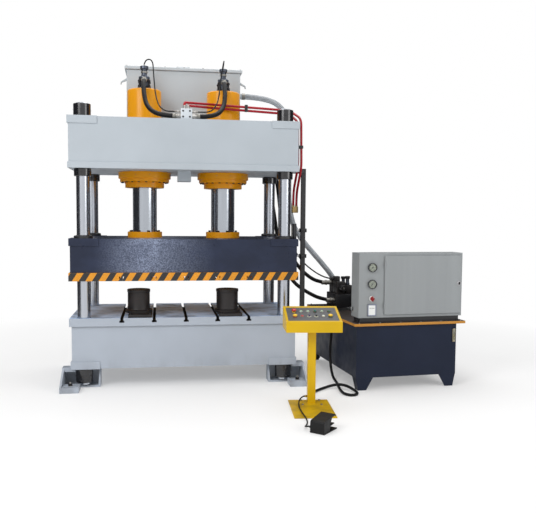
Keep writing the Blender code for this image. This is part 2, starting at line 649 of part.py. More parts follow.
def build_power_unit(line):
    unit = empty("power_unit", line, at=unit_place().to_translation(), turn=(0, 0, UNIT_TURN))
    low_x, high_x = UNIT_X
    front, back = UNIT_Y
    body = block((low_x, front, UNIT_LEG_H), (high_x, back, UNIT_WALL_TOP_Z))
    shapes = []
    leg_top, leg_foot, lean, plate = 0.18, 0.085, 0.024, 0.012
    into = UNIT_LEG_H + 0.03
    for side_x, side_y, _, _ in corners_of(1, 1):
        x = low_x if side_x < 0 else high_x
        y = front if side_y < 0 else back
        leg = [(0.0, into), (0.0, UNIT_LEG_H), (lean, 0.0), (lean + leg_foot, 0.0), (leg_top, UNIT_LEG_H)]
        leg.append((leg_top, into))
        inset = 0.002
        facing = sorted((y - side_y * inset, y - side_y * (inset + plate)))
        shapes.append(prism([(x - side_x * (u + inset), v) for u, v in leg], "Y", *facing))
        flank = sorted((x - side_x * (lean + 0.001), x - side_x * (lean + 0.001 + plate)))
        straight = [(0.003, into), (0.003, 0.0), (leg_foot, 0.0), (leg_top, UNIT_LEG_H), (leg_top, into)]
        shapes.append(prism([(y - side_y * u, v) for u, v in straight], "X", *flank))
    piece("oil_tank", united(body, *shapes), "navy", unit)
    plate_low = UNIT_WALL_TOP_Z + GAP
    cover = block((COVER_X[0], COVER_Y[0], plate_low), (COVER_X[1], COVER_Y[1], COVER_TOP_Z), 0.004)
    neck = rod(0.032, (*NECK_AT, COVER_TOP_Z - 0.01), (*NECK_AT, NECK_TOP_Z), 12)
    breather = turned([(0.0, 0.085), (0.032, 0.085), (0.036, 0.08), (0.036, 0.02), (0.028, 0.015), (0.028, -0.01),
                       (0.0, -0.01)], 12)
    breather = placed(breather, Matrix.Translation((2.55, 0.40, COVER_TOP_Z)))
    piece("tank_cover", united(cover, neck, breather), "orange", unit)
    gauge = block((-0.016, -0.014, 0.0), (0.016, 0.0, 0.134), 0.002)
    window = block((-0.008, -0.02, 0.022), (0.008, -0.009, 0.112))
    piece("level_gauge", cut(gauge, window), "ivory", unit, at=(2.685, front - GAP, 0.454))
    build_cabinet(unit)
    build_pump_set(unit)


def build_cabinet(unit):
    """The electrical cabinet: a sheet shell open at the front, with the gauge strip beside the door."""
    low_x, high_x = CABINET_X
    front, back = CABINET_Y
    low_z, high_z = CABINET_Z
    wall = CABINET_WALL
    shell = block((low_x, front, low_z), (high_x, back, high_z))
    plinth = block((low_x + 0.02, front + 0.02, COVER_TOP_Z + GAP), (high_x - 0.02, back - 0.02, low_z + 0.005))
    bezels = []
    for z in (GAUGE_UPPER_Z, GAUGE_LOWER_Z):
        bezels.append(rod(GAUGE_R, (GAUGE_X, front + 0.006, z), (GAUGE_X, front - 0.022, z), 16))
    meter = block((GAUGE_X - 0.045, front - 0.012, 0.735), (GAUGE_X + 0.045, front + 0.006, 0.850))
    plate = rod(0.026, (GAUGE_X, front + 0.006, 0.906), (GAUGE_X, front - 0.006, 0.906), 10)
    gland = rod(0.018, (low_x + 0.005, -0.82, 0.79), (low_x - 0.024, -0.82, 0.79), 10)
    hollow = block((low_x + wall, front + wall, low_z + wall), (high_x - wall, back - wall, high_z - wall))
    doorway = block((DOOR_X[0] + 0.014, front - 0.02, DOOR_Z[0] + 0.014),
                    (DOOR_X[1] - 0.014, front + 0.04, DOOR_Z[1] - 0.014))
    dials = []
    for z in (GAUGE_UPPER_Z, GAUGE_LOWER_Z):
        dials.append(rod(GAUGE_R - 0.006, (GAUGE_X, front - 0.010, z), (GAUGE_X, front - 0.05, z), 16))
    socket = rod(0.0132, (GAUGE_X, front + 0.002, 0.906), (GAUGE_X, front - 0.05, 0.906), 10)
    window = block((GAUGE_X - 0.036, front - 0.03, 0.745), (GAUGE_X + 0.036, front - 0.009, 0.841))
    shell = united(cut(shell, hollow, doorway), plinth, *bezels, meter, plate, gland)
    piece("cabinet", cut(shell, *dials, socket, window), "cabinet_grey", unit)

    hinge_x, hinge_y, pin = DOOR_X[0], front - GAP - DOOR_T, 0.0078
    middle_z = (DOOR_Z[0] + DOOR_Z[1]) / 2
    height = (DOOR_Z[1] - DOOR_Z[0]) / 2
    leaf = block((0, 0, -height), (DOOR_X[1] - hinge_x, DOOR_T, height))
    lock_x, lock_z = LOCK_X - hinge_x, 1.046 - middle_z
    hole = rod(0.010, (lock_x, -0.05, lock_z), (lock_x, 0.05, lock_z), 12)
    knuckles = []
    for z in (-height + 0.09, height - 0.09):
        knuckles.append(rod(pin, (0, 0, z - 0.03), (0, 0, z + 0.03), 8))
    piece("cabinet_door", cut(united(leaf, *knuckles), hole), "cabinet_grey", unit, at=(hinge_x, hinge_y, middle_z))

    shaft = rod(0.0095, (0, 0.012, 0), (0, -0.010, 0), 12)
    escutcheon = rod(0.016, (0, -0.0085, 0), (0, -0.013, 0), 12)
    grip = block((-0.005, -0.026, -0.014), (0.005, -0.011, 0.014), 0.002)
    cam = block((-0.008, 0.0105, -0.030), (0.008, 0.0145, 0.008))
    lock = united(shaft, escutcheon, grip, cam)
    piece("door_lock", lock, "black", unit, at=(LOCK_X, hinge_y + DOOR_T / 2, 1.046))

    for name, z in (("gauge_needle_upper", GAUGE_UPPER_Z), ("gauge_needle_lower", GAUGE_LOWER_Z)):
        hub = rod(0.005, (0, 0, 0), (0, -0.006, 0), 8)
        pointer = prism([(-0.002, -0.012), (0.002, -0.012), (0.0006, 0.036), (-0.0006, 0.036)], "Y", -0.004, -0.0025)
        needle = placed(united(hub, pointer), Matrix.Rotation(math.radians(-135), 4, "Y"))
        piece(name, needle, "black", unit, at=(GAUGE_X, front - 0.010 - GAP, z))
    knob = turned([(0.0, 0.024), (0.019, 0.024), (0.021, 0.021), (0.021, 0.008), (0.0125, 0.008), (0.0125, -0.003),
                   (0.0, -0.003)], 14)
    grip = block((-0.006, -0.026, 0.015), (0.006, 0.026, 0.034), 0.003)
    switch = placed(united(knob, grip), Matrix.Rotation(math.radians(90), 4, "X"))
    piece("main_switch", switch, "red", unit, at=(GAUGE_X, front - 0.0015, 0.906))


def finned_body(radius, fin, count, start, end):
    """A motor stator with straight cooling fins along Y, centred on the axis."""
    outline = []
    for index in range(count):
        for share, reach in ((0.28, radius), (0.36, radius + fin), (0.64, radius + fin), (0.72, radius)):
            angle = FULL_TURN * (index + share) / count
            outline.append((reach * math.cos(angle), reach * math.sin(angle)))
    return prism(outline, "Y", start, end)


def build_pump_set(unit):
    """The motor with its bell housing and pump, behind the cabinet, and the valve stack beside them."""
    top = COVER_TOP_Z + GAP
    axis_x, axis_z = 2.33, top + 0.19
    stator = finned_body(0.128, 0.016, 12, -0.50, -0.16)
    shapes = [
        rod(0.15, (0, -0.165, 0), (0, -0.135, 0), 16), rod(0.146, (0, -0.60, 0), (0, -0.485, 0), 16),
        rod(0.10, (0, -0.14, 0), (0, -0.10, 0), 12),
        block((-0.09, -0.40, 0.11), (0.09, -0.26, 0.19)),
        block((-0.15, -0.48, -0.19), (0.15, -0.42, -0.172)), block((-0.15, -0.24, -0.19), (0.15, -0.18, -0.172)),
        block((-0.09, -0.48, -0.18), (0.09, -0.42, -0.10)), block((-0.09, -0.24, -0.18), (0.09, -0.18, -0.10)),
    ]
    piece("pump_motor", united(stator, *shapes), "slate", unit, at=(axis_x, 0, axis_z))
    housing = turned([(0.0, 0.30), (0.05, 0.30), (0.058, 0.292), (0.058, 0.17), (0.075, 0.16), (0.075, 0.125),
                      (0.10, 0.115), (0.10, 0.022), (0.15, 0.018), (0.15, 0.0), (0.0, 0.0)], 16)
    housing = placed(housing, Matrix.Rotation(math.radians(-90), 4, "X"))
    ports = [rod(0.026, (0, 0.225, 0.04), (0, 0.225, 0.12), 8), rod(0.022, (0.04, 0.25, 0), (0.115, 0.25, 0), 8)]
    foot = block((-0.05, 0.06, -0.19), (0.05, 0.10, -0.08))
    at = (axis_x, -0.10 + GAP, axis_z)
    piece("hydraulic_pump", united(housing, *ports, foot), "black", unit, at=at)

    base = block((0, 0, 0), (0.22, 0.34, 0.16))
    _, upper_y, upper_z = PORT_UPPER
    _, lower_y, lower_z = PORT_LOWER
    _, signal_y, signal_z = PORT_SIGNAL
    stack = [
        block((0.015, 0.02, 0.14), (0.115, 0.12, 0.30)), block((0.02, 0.20, 0.14), (0.11, 0.31, 0.335)),
        block((0.13, 0.03, 0.14), (0.205, 0.30, 0.26)), block((0.02, 0.13, 0.15), (0.09, 0.19, 0.355)),
        rod(0.034, (0.065, 0.03, 0.235), (0.065, -0.075, 0.235), 12),
        rod(0.03, (0.065, 0.30, 0.235), (0.065, 0.36, 0.235), 12),
        rod(0.028, (0.165, 0.09, 0.24), (0.165, 0.09, 0.36), 12),
        rod(0.028, (0.165, 0.23, 0.24), (0.165, 0.23, 0.345), 12),
        rod(0.026, PORT_LOWER, (0.01, lower_y, lower_z), 12),
        rod(0.026, PORT_UPPER, (0.03, upper_y, upper_z), 12),
        rod(0.013, PORT_SIGNAL, (0.03, signal_y, signal_z), 8),
    ]
    piece("valve_block", united(base, *stack), "black", unit, at=(*VALVE_AT, top))


@dataclass(frozen=True)
class PanelDevice:
    """One thing on the operator's panel: its place in the grid, what it is, and its colour."""

    name: str
    column: int
    row: str
    kind: str
    colour: str

    @property
    def place(self):
        return (self.column - 2.5) * DEVICE_PITCH, DEVICE_ROWS[self.row]


PANEL = (
    PanelDevice("emergency_stop", 0, "far", "mushroom", "red"),
    PanelDevice("power_lamp", 1, "far", "lamp", "ivory"),
    PanelDevice("pump_lamp", 2, "far", "lamp", "ivory"),
    PanelDevice("mode_selector", 3, "far", "selector", "green"),
    PanelDevice("cycle_lamp", 4, "far", "lamp", "ivory"),
    PanelDevice("start_button", 5, "far", "button", "green"),
    PanelDevice("palm_button_left", 0, "near", "palm", "yellow"),
    PanelDevice("stop_button", 1, "near", "button", "red"),
    PanelDevice("stroke_selector", 2, "near", "selector", "black"),
    PanelDevice("hold_selector", 3, "near", "selector", "black"),
    PanelDevice("jog_button", 4, "near", "button", "ivory"),
    PanelDevice("palm_button_right", 5, "near", "palm", "yellow"),
)


def device_mesh(kind):
    """A panel device about its own axis, its shank in the pocket below and its head above the collar."""
    steps = DEVICE_STEPS
    shank = [(SHANK_R, 0.008), (SHANK_R, SHANK_LOW), (0.0, SHANK_LOW)]
    if kind == "button":
        return turned([(0.0, 0.0115), (0.0105, 0.0115), (SHANK_R, 0.0095), *shank[1:]], steps)
    if kind == "palm":
        head = [(0.0, 0.024), (0.010, 0.0235), (0.017, 0.021), (0.0205, 0.016), (0.0205, 0.0125)]
        return turned([*head, (SHANK_R, 0.0125), *shank[1:]], steps)
    if kind == "mushroom":
        head = [(0.0, 0.031), (0.012, 0.030), (0.019, 0.0265), (0.0215, 0.021), (0.0205, 0.0125)]
        return turned([*head, (SHANK_R, 0.0125), *shank[1:]], steps)
    base = turned([(0.0, 0.0105), (0.0115, 0.0105), (SHANK_R, 0.009), *shank[1:]], steps)
    return united(base, block((-0.0045, -0.0135, 0.0075), (0.0045, 0.0135, 0.0215), 0.0015))


def build_stand(line):
    """The operator stand: floor plate, post and the sloping control box with its devices."""
    stand = empty("stand", line, at=(*STAND_AT, 0), turn=(0, 0, STAND_TURN))
    sole = block((-0.202, -0.472, 0.0), (0.164, 0.098, 0.012), 0.002)
    post = block((-0.036, -0.036, 0.006), (0.036, 0.036, BOX_LOW_Z - GAP), 0.004)
    gland = rod(0.018, (0.0, 0.03, 0.075), (0.0, 0.062, 0.075), 12)
    nipple = rod(0.009, (-0.03, 0.0, 0.07), (-0.055, 0.0, 0.07), 8)
    piece("pedestal", united(sole, post, gland, nipple), "yellow", stand)

    slope = math.atan2(BOX_BACK_Z - BOX_FRONT_Z, 2 * BOX_HALF_Y)
    centre = (0, 0, (BOX_FRONT_Z + BOX_BACK_Z) / 2)
    rim = 0.003
    panel = empty("panel", stand, at=centre, turn=(slope, 0, 0))
    into_panel = (Matrix.Translation(centre) @ Matrix.Rotation(slope, 4, "X")).inverted()
    side = [(-BOX_HALF_Y, BOX_LOW_Z), (-BOX_HALF_Y, BOX_FRONT_Z), (BOX_HALF_Y, BOX_BACK_Z), (BOX_HALF_Y, BOX_LOW_Z)]
    case = placed(prism(side, "X", -BOX_HALF_X, BOX_HALF_X), into_panel)
    case = placed(case, Matrix.Translation((0, 0, rim)))
    case = cut(case, block((-BOX_HALF_X + 0.022, -0.155, 0.0), (BOX_HALF_X - 0.022, 0.155, 0.05)))
    collars, pockets, lamps = [], [], []
    for device in PANEL:
        x, y = device.place
        collars.append(rod(COLLAR_R, (x, y, -0.004), (x, y, COLLAR_TOP), COLLAR_STEPS))
        if device.kind == "lamp":
            dome = turned([(0.0, 0.016), (0.008, 0.0145), (0.0125, 0.0095), (0.0125, 0.0), (0.0, 0.0)], COLLAR_STEPS)
            lamps.append(placed(dome, Matrix.Translation((x, y, 0))))
        else:
            pockets.append(rod(POCKET_R, (x, y, POCKET_LOW), (x, y, 0.04), DEVICE_STEPS))
            piece(device.name, device_mesh(device.kind), device.colour, panel, at=(x, y, 0))
    piece("control_box", cut(united(case, *collars, *lamps), *pockets), "yellow", panel)


def build_foot_switch(line):
    """The guarded foot switch: sole, switch housing, the hood over it and the sprung treadle."""
    station = empty("foot_station", line, at=(*FOOT_SWITCH_AT, 0), turn=(0, 0, FOOT_SWITCH_TURN))
    sole = block((-0.108, -0.066, 0.0), (0.108, 0.066, 0.010), 0.002)
    housing = prism([(-0.106, 0.005), (-0.106, 0.088), (-0.094, 0.100), (-0.045, 0.108), (-0.030, 0.055),
                     (-0.030, 0.005)], "Y", -0.064, 0.064)
    hood = prism([(-0.10, 0.086), (-0.094, 0.100), (0.075, 0.128), (0.090, 0.112), (0.086, 0.108), (0.070, 0.118)],
                 "Y", -0.064, 0.064)
    cheeks = []
    cheek = [(-0.05, 0.005), (-0.05, 0.104), (0.03, 0.117), (-0.012, 0.06), (-0.012, 0.005)]
    for low, high in ((-0.064, -0.058), (0.058, 0.064)):
        cheeks.append(prism(cheek, "Y", low, high))
    gland = rod(0.009, (-0.07, 0.06, 0.035), (-0.07, 0.085, 0.035), 10)
    body = united(sole, housing, hood, *cheeks, gland)
    pocket = rod(0.0095, (-0.022, -0.057, 0.036), (-0.022, 0.057, 0.036), 12)
    piece("foot_switch", cut(body, pocket), "black", station)
    barrel = rod(0.008, (0, -0.056, 0), (0, 0.056, 0), 12)
    tread = prism([(0.0, -0.003), (0.0, 0.003), (0.108, 0.017), (0.112, 0.012), (0.108, 0.009)], "Y", -0.05, 0.05)
    piece("foot_treadle", united(barrel, tread), "black", station, at=(-0.022, 0, 0.036))


def on_unit(x, y, z):
    """A point of the power unit, in the line's own coordinates."""
    return unit_place() @ Vector((x, y, z))


def valve_port(port, back):
    """A point on the axis of one of the valve block's ports, this far out of its mouth."""
    return on_unit(VALVE_AT[0] + port[0] - back, VALVE_AT[1] + port[1], COVER_TOP_Z + GAP + port[2])


def build_cords(press):
    """The free hoses and cables, each through the points of its own route."""
    mouth_y, mouth_z = FILL_PORT[1] - GAP, CYLINDER_TOP_Z + FILL_PORT[2]
    for name, side, tip in (("fill_hose_left", -1, -0.097 - GAP), ("fill_hose_right", 1, 0.103 + GAP)):
        cord(name, [
            (side * CYLINDER_X, mouth_y, mouth_z), (side * CYLINDER_X, mouth_y - 0.019, mouth_z - 0.007),
            (side * CYLINDER_X, -0.1833, 3.0696), (side * CYLINDER_X, -0.2279, 3.0164),
            (side * CYLINDER_X, -0.2517, 2.9511), (side * 0.405, -0.298, 2.865), (side * 0.372, -0.38, 2.777),
            (side * 0.310, -0.462, 2.715), (side * 0.235, -0.517, 2.686), (tip + side * 0.055, -0.532, 2.680),
            (tip, -0.532, 2.680),
        ], FILL_D, "rubber", press)
    top = CYLINDER_TOP_Z + 0.25 + 2 * GAP
    cord("pilot_hose_left", [
        (-CYLINDER_X, 0, top), (-CYLINDER_X, 0, top + 0.018), (-0.403, -0.006, top + 0.056),
        (-0.369, -0.021, top + 0.073), (-0.335, -0.037, top + 0.056), (-0.324, -0.052, top + 0.012),
        (-0.319, -0.095, 3.19), (-0.308, -0.18, 3.05), (-0.296, -0.27, 2.93), (-0.262, -0.39, 2.80),
        (-0.200, -0.480, 2.737), (-0.145, -0.512, 2.728), (-0.115, -0.515, 2.728), (-0.092 - GAP, -0.515, 2.728),
    ], 0.013, "rubber", press)
    cord("pilot_hose_right", [
        (CYLINDER_X, 0, top), (CYLINDER_X, 0, top + 0.018), (0.417, -0.012, top + 0.058),
        (0.418, -0.050, top + 0.080), (0.411, -0.090, top + 0.058), (0.400, -0.108, top + 0.010),
        (0.385, -0.125, 3.17), (0.366, -0.18, 3.06), (0.347, -0.26, 2.94), (0.318, -0.35, 2.84),
        (0.268, -0.43, 2.765), (0.210, -0.485, 2.735), (0.152, -0.512, 2.728), (0.122, -0.515, 2.728),
        (0.098 + GAP, -0.515, 2.728),
    ], 0.013, "rubber", press)
    cord("suction_hose", [
        (0.665 + GAP, 0.45, 3.06), (0.70, 0.45, 3.06), (0.82, 0.452, 3.053), (0.95, 0.462, 3.040),
        (1.06, 0.485, 3.010), (1.15, 0.52, 2.95), (1.215, 0.565, 2.855), (1.25, 0.615, 2.72), (1.263, 0.655, 2.56),
        (1.265, 0.68, 2.38), (1.265, 0.685, 2.15), (1.268, 0.685, 1.90), (1.305, 0.672, 1.65),
        (1.38, 0.645, 1.49), (1.469, 0.62, 1.37), (1.58, 0.59, 1.24), (1.69, 0.565, 1.11), (1.785, 0.542, 0.985),
        (1.838, 0.527, 0.90), on_unit(*NECK_AT, NECK_TOP_Z + 0.035), on_unit(*NECK_AT, NECK_TOP_Z + GAP),
    ], SUCTION_D, "clear_hose", press)
    back = CROWN_HALF[1] + 0.035 + GAP
    cord("pressure_hose_upper", [
        (1.03, back, 2.40), (1.03, back + 0.02, 2.40), (1.045, 0.705, 2.375), (1.085, 0.765, 2.29),
        (1.14, 0.795, 2.12), (1.175, 0.79, 1.85), (1.215, 0.765, 1.55), (1.29, 0.71, 1.28), (1.39, 0.62, 1.10),
        (1.49, 0.50, 0.995), (1.57, 0.40, 0.952), valve_port(PORT_UPPER, 0.03), valve_port(PORT_UPPER, GAP),
    ], 0.043, "rubber", press)
    cord("pressure_hose_lower", [
        (0.93, back, 2.30), (0.93, back + 0.02, 2.30), (0.948, 0.705, 2.275), (0.99, 0.765, 2.19),
        (1.055, 0.80, 2.02), (1.11, 0.80, 1.75), (1.155, 0.785, 1.42), (1.22, 0.72, 1.12), (1.32, 0.60, 0.93),
        (1.44, 0.42, 0.83), (1.56, 0.25, 0.772), valve_port(PORT_LOWER, 0.03), valve_port(PORT_LOWER, GAP),
    ], 0.043, "rubber", press)
    cord("signal_cable", [
        (0.99, CROWN_HALF[1] + 0.03 + GAP, 2.52), (0.99, CROWN_HALF[1] + 0.045, 2.52), (1.01, 0.67, 2.50),
        (1.06, 0.70, 2.43), (1.13, 0.71, 2.30), (1.18, 0.70, 2.05), (1.20, 0.685, 1.80), (1.235, 0.66, 1.55),
        (1.31, 0.60, 1.34), (1.41, 0.52, 1.175), (1.53, 0.42, 1.065), (1.62, 0.33, 1.012),
        valve_port(PORT_SIGNAL, 0.02), valve_port(PORT_SIGNAL, GAP),
    ], 0.016, "rubber", press)
    cord("trunk_conduit", [
        on_unit(1.64 - GAP, -0.82, 0.79), on_unit(1.615, -0.82, 0.79), (1.556, -0.808, 0.785), (1.533, -0.755, 0.775),
        (1.532, -0.68, 0.755), (1.536, -0.55, 0.69), (1.540, -0.43, 0.56), (1.542, -0.35, 0.39),
        (1.543, -0.325, 0.235), (1.543, -0.355, 0.12), (1.542, -0.435, 0.042), (1.535, -0.54, 0.0158),
        (1.525, -0.70, 0.0158), (1.498, -0.87, 0.0158), (1.478, -1.03, 0.0158), (1.474, -1.13, 0.0158),
        (1.494, -1.208, 0.0158), (1.549, -1.242, 0.0158), (1.604, -1.208, 0.0158), (1.624, -1.13, 0.0158),
        (1.612, -1.05, 0.019), (1.580, -0.965, 0.036), (1.530, -0.895, 0.050), (1.465, -0.862, 0.042),
        (1.395, -0.872, 0.020), (1.320, -0.920, 0.0158), (1.245, -1.00, 0.0158), (1.175, -1.09, 0.019),
        (1.125, -1.19, 0.045), (1.109, -1.265, 0.070), (1.1072, -1.3183, 0.075), (1.10543, -1.33794, 0.075),
    ], 0.028, "rubber", press)
    cord("foot_switch_cable", [
        (1.04491, -1.39517, 0.07), (1.0330, -1.3941, 0.07), (0.998, -1.407, 0.055), (0.974, -1.46, 0.030),
        (0.960, -1.54, 0.0195), (0.950, -1.66, 0.0185), (0.946, -1.78, 0.0185), (0.946, -1.88, 0.0185),
        (0.946, -1.94, 0.012), (0.937, -2.00, 0.0080), (0.918, -2.06, 0.0085), (0.897, -2.11, 0.014),
        (0.887, -2.145, 0.022), (0.892, -2.170, 0.031), (0.9049, -2.1851, 0.035), (0.9158, -2.1949, 0.035),
    ], 0.012, "rubber", press)


def centre_on_floor(line):
    """Moves the whole line so that the box around its rigid pieces stands centred on the origin."""
    bpy.context.view_layer.update()
    graph = bpy.context.evaluated_depsgraph_get()
    corners = []
    for obj in bpy.context.scene.collection.objects:
        if obj.type == "MESH":
            seen = obj.evaluated_get(graph)
            corners += [seen.matrix_world @ vertex.co for vertex in seen.data.vertices]
    low = [min(corner[axis] for corner in corners) for axis in range(3)]
    high = [max(corner[axis] for corner in corners) for axis in range(3)]
    line.location = (-(low[0] + high[0]) / 2, -(low[1] + high[1]) / 2, -low[2])


def main():
    clear_scene()
    line = empty("press_line")
    press = empty("press", line)
    build_bed(press)
    build_columns(press)
    build_crown(press)
    build_cylinders(press)
    build_fill_valves(press)
    build_header_tank(press)
    build_crown_plumbing(press)
    build_limit_rail(press)
    build_punch_blocks(press)
    build_slide(press)
    build_power_unit(line)
    build_stand(line)
    build_foot_switch(line)
    build_cords(line)
    centre_on_floor(line)
    bpy.context.view_layer.update()


main()
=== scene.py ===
"""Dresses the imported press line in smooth, detailed pieces, with their finishes, light and camera."""

import logging
import math
from dataclasses import dataclass
from enum import Enum
from typing import Callable, Iterable, Mapping, Sequence

import bmesh
import bpy
from mathutils import Matrix, Vector


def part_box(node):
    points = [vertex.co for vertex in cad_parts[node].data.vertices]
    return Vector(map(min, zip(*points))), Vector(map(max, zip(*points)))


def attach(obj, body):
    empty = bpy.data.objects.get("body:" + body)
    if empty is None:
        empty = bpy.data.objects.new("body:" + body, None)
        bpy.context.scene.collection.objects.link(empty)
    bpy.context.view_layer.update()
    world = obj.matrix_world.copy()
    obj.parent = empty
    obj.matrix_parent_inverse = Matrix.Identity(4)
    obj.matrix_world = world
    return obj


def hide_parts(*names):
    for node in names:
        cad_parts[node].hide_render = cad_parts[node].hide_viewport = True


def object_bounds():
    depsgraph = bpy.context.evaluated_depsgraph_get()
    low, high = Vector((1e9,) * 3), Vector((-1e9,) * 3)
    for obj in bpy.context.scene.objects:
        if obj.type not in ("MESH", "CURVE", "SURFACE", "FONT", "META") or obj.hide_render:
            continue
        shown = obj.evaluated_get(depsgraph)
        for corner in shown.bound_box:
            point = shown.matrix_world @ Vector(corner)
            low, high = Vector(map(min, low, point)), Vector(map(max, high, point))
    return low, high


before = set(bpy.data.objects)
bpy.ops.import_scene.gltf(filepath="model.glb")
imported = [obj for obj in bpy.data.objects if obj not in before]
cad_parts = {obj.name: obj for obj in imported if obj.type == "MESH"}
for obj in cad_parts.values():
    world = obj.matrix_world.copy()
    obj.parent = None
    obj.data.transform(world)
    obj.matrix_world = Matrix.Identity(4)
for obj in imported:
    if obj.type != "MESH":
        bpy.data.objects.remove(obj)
CAD_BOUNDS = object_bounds()
LOG = logging.getLogger("press_line")

Point = Sequence[float]
Pair = tuple[float, float]
Colour = tuple[float, float, float]
Socket = bpy.types.NodeSocket
FULL_TURN = 2 * math.pi
SHARP_FROM = math.radians(32)
NOISE_SPAN: Pair = (0.3, 0.7)
SAME_CORNER = 1e-6
SAME_POINT = 1e-5


class Body(Enum):
    """The CAD bodies that the pieces ride on."""

    LINE = "press_line"
    SLIDE = "slide"
    DOOR = "cabinet_door"
    LOCK = "door_lock"
    NEEDLE_UPPER = "needle_upper"
    NEEDLE_LOWER = "needle_lower"
    MAIN_SWITCH = "main_switch"
    EMERGENCY_STOP = "emergency_stop"
    START = "start_button"
    STOP = "stop_button"
    JOG = "jog_button"
    PALM_LEFT = "palm_left"
    PALM_RIGHT = "palm_right"
    MODE = "mode_selector"
    STROKE = "stroke_selector"
    HOLD = "hold_selector"
    TREADLE = "treadle"


class Slot(Enum):
    """The record's material slots."""

    PALE_GREY = "pale_grey_paint"
    MANIFOLD = "manifold_paint"
    BED_GREY = "bed_grey_paint"
    TABLE = "table_steel"
    SLATE = "slide_slate_paint"
    SLIDE_ORANGE = "slide_orange_paint"
    BLACK_PAINT = "black_paint"
    CHROME = "chromed_rod"
    CYLINDER_ORANGE = "cylinder_orange_paint"
    ZINC = "valve_zinc"
    RED_PIPE = "red_pipe_paint"
    BLACK_PLASTIC = "black_plastic"
    CAST_IRON = "die_cast_iron"
    NAVY = "tank_navy_paint"
    COVER_ORANGE = "cover_orange_paint"
    GAUGE_GLASS = "gauge_glass_plastic"
    CABINET_GREY = "cabinet_grey_paint"
    LOCK_CHROME = "lock_chrome"
    RED_PLASTIC = "red_plastic"
    MOTOR = "motor_slate_paint"
    YELLOW_PAINT = "yellow_paint"
    GREEN_PLASTIC = "green_plastic"
    IVORY_PLASTIC = "ivory_plastic"
    YELLOW_PLASTIC = "yellow_plastic"
    FOOT_BLACK = "foot_black_paint"
    RUBBER = "black_rubber"
    CLEAR_HOSE = "clear_hose_plastic"


def middle_of(*nodes: str) -> Vector:
    """The middle of the box round some CAD nodes.

    Args:
        nodes: The names of the nodes.

    Returns:
        The middle point, in the row frame.
    """
    lows, highs = zip(*(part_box(node) for node in nodes))
    low = [min(corner[axis] for corner in lows) for axis in range(3)]
    high = [max(corner[axis] for corner in highs) for axis in range(3)]
    return (Vector(low) + Vector(high)) / 2


def shift(x: float, y: float, z: float) -> Matrix:
    """A move by these distances."""
    return Matrix.Translation((x, y, z))


COLUMN_NODES = ("column_front_left", "column_front_right", "column_rear_left", "column_rear_right")
PRESS_MIDDLE = middle_of(*COLUMN_NODES)
PRESS = shift(PRESS_MIDDLE.x, PRESS_MIDDLE.y, 0.0)
CYLINDER_X: Pair = (-0.414, 0.414)
UNIT_CORNER = shift(1.61, -1.03, 0.0)
UNIT_TURN = math.radians(5)
UNIT_IN_PRESS = UNIT_CORNER @ Matrix.Rotation(UNIT_TURN, 4, "Z") @ UNIT_CORNER.inverted()
UNIT = PRESS @ UNIT_IN_PRESS


def tint(red: int, green: int, blue: int) -> Colour:
    """A paint's colour, from the 0 to 255 values of its swatch.

    Args:
        red: Red value of the swatch.
        green: Green value of the swatch.
        blue: Blue value of the swatch.

    Returns:
        The linear colour.
    """
    shares = (value / 255 for value in (red, green, blue))
    return tuple(s / 12.92 if s <= 0.04045 else ((s + 0.055) / 1.055) ** 2.4 for s in shares)


def shaded(colour: Colour, factor: float = 1.0) -> tuple[float, float, float, float]:
    """A colour made lighter or darker by a factor, with alpha.

    Args:
        colour: The linear colour.
        factor: What each channel is multiplied by.

    Returns:
        Four channels for a socket.
    """
    return (*(min(1.0, channel * factor) for channel in colour), 1.0)


class Wiring:
    """A node tree, with short calls that add nodes and join them."""

    def __init__(self, tree: bpy.types.NodeTree) -> None:
        """Takes up a tree."""
        self.tree = tree

    def node(self, kind: str, inputs: Mapping[str | int, object] | None = None,
             **settings: object) -> bpy.types.Node:
        """Adds a node.

        Args:
            kind: The node's type.
            inputs: Sockets to link or values to set, by the input's name or number.
            settings: Attributes to set on it.

        Returns:
            The node.
        """
        added = self.tree.nodes.new(kind)
        for name, value in settings.items():
            setattr(added, name, value)
        for key, value in (inputs or {}).items():
            if isinstance(value, Socket):
                self.link(value, added.inputs[key])
            else:
                added.inputs[key].default_value = value
        return added

    def link(self, source: Socket, target: Socket) -> None:
        """Joins an output to an input."""
        self.tree.links.new(source, target)

    def spread(self, value: Socket, source: Point, target: Point = (0.0, 1.0)) -> Socket:
        """Maps one range of values to another, clamped.

        Args:
            value: The value.
            source: Low and high of the range it is read in.
            target: What low and high become.

        Returns:
            The mapped value.
        """
        limits = dict(zip(("From Min", "From Max", "To Min", "To Max"), (*source, *target)))
        return self.node("ShaderNodeMapRange", {**limits, "Value": value}).outputs["Result"]

    def maths(self, operation: str, first: Socket, second: Socket | float = 0.0) -> Socket:
        """Works one sum on two values.

        Args:
            operation: The sum's name.
            first: The first value.
            second: The second value, or a number.

        Returns:
            The answer.
        """
        return self.node("ShaderNodeMath", {0: first, 1: second}, operation=operation).outputs["Value"]


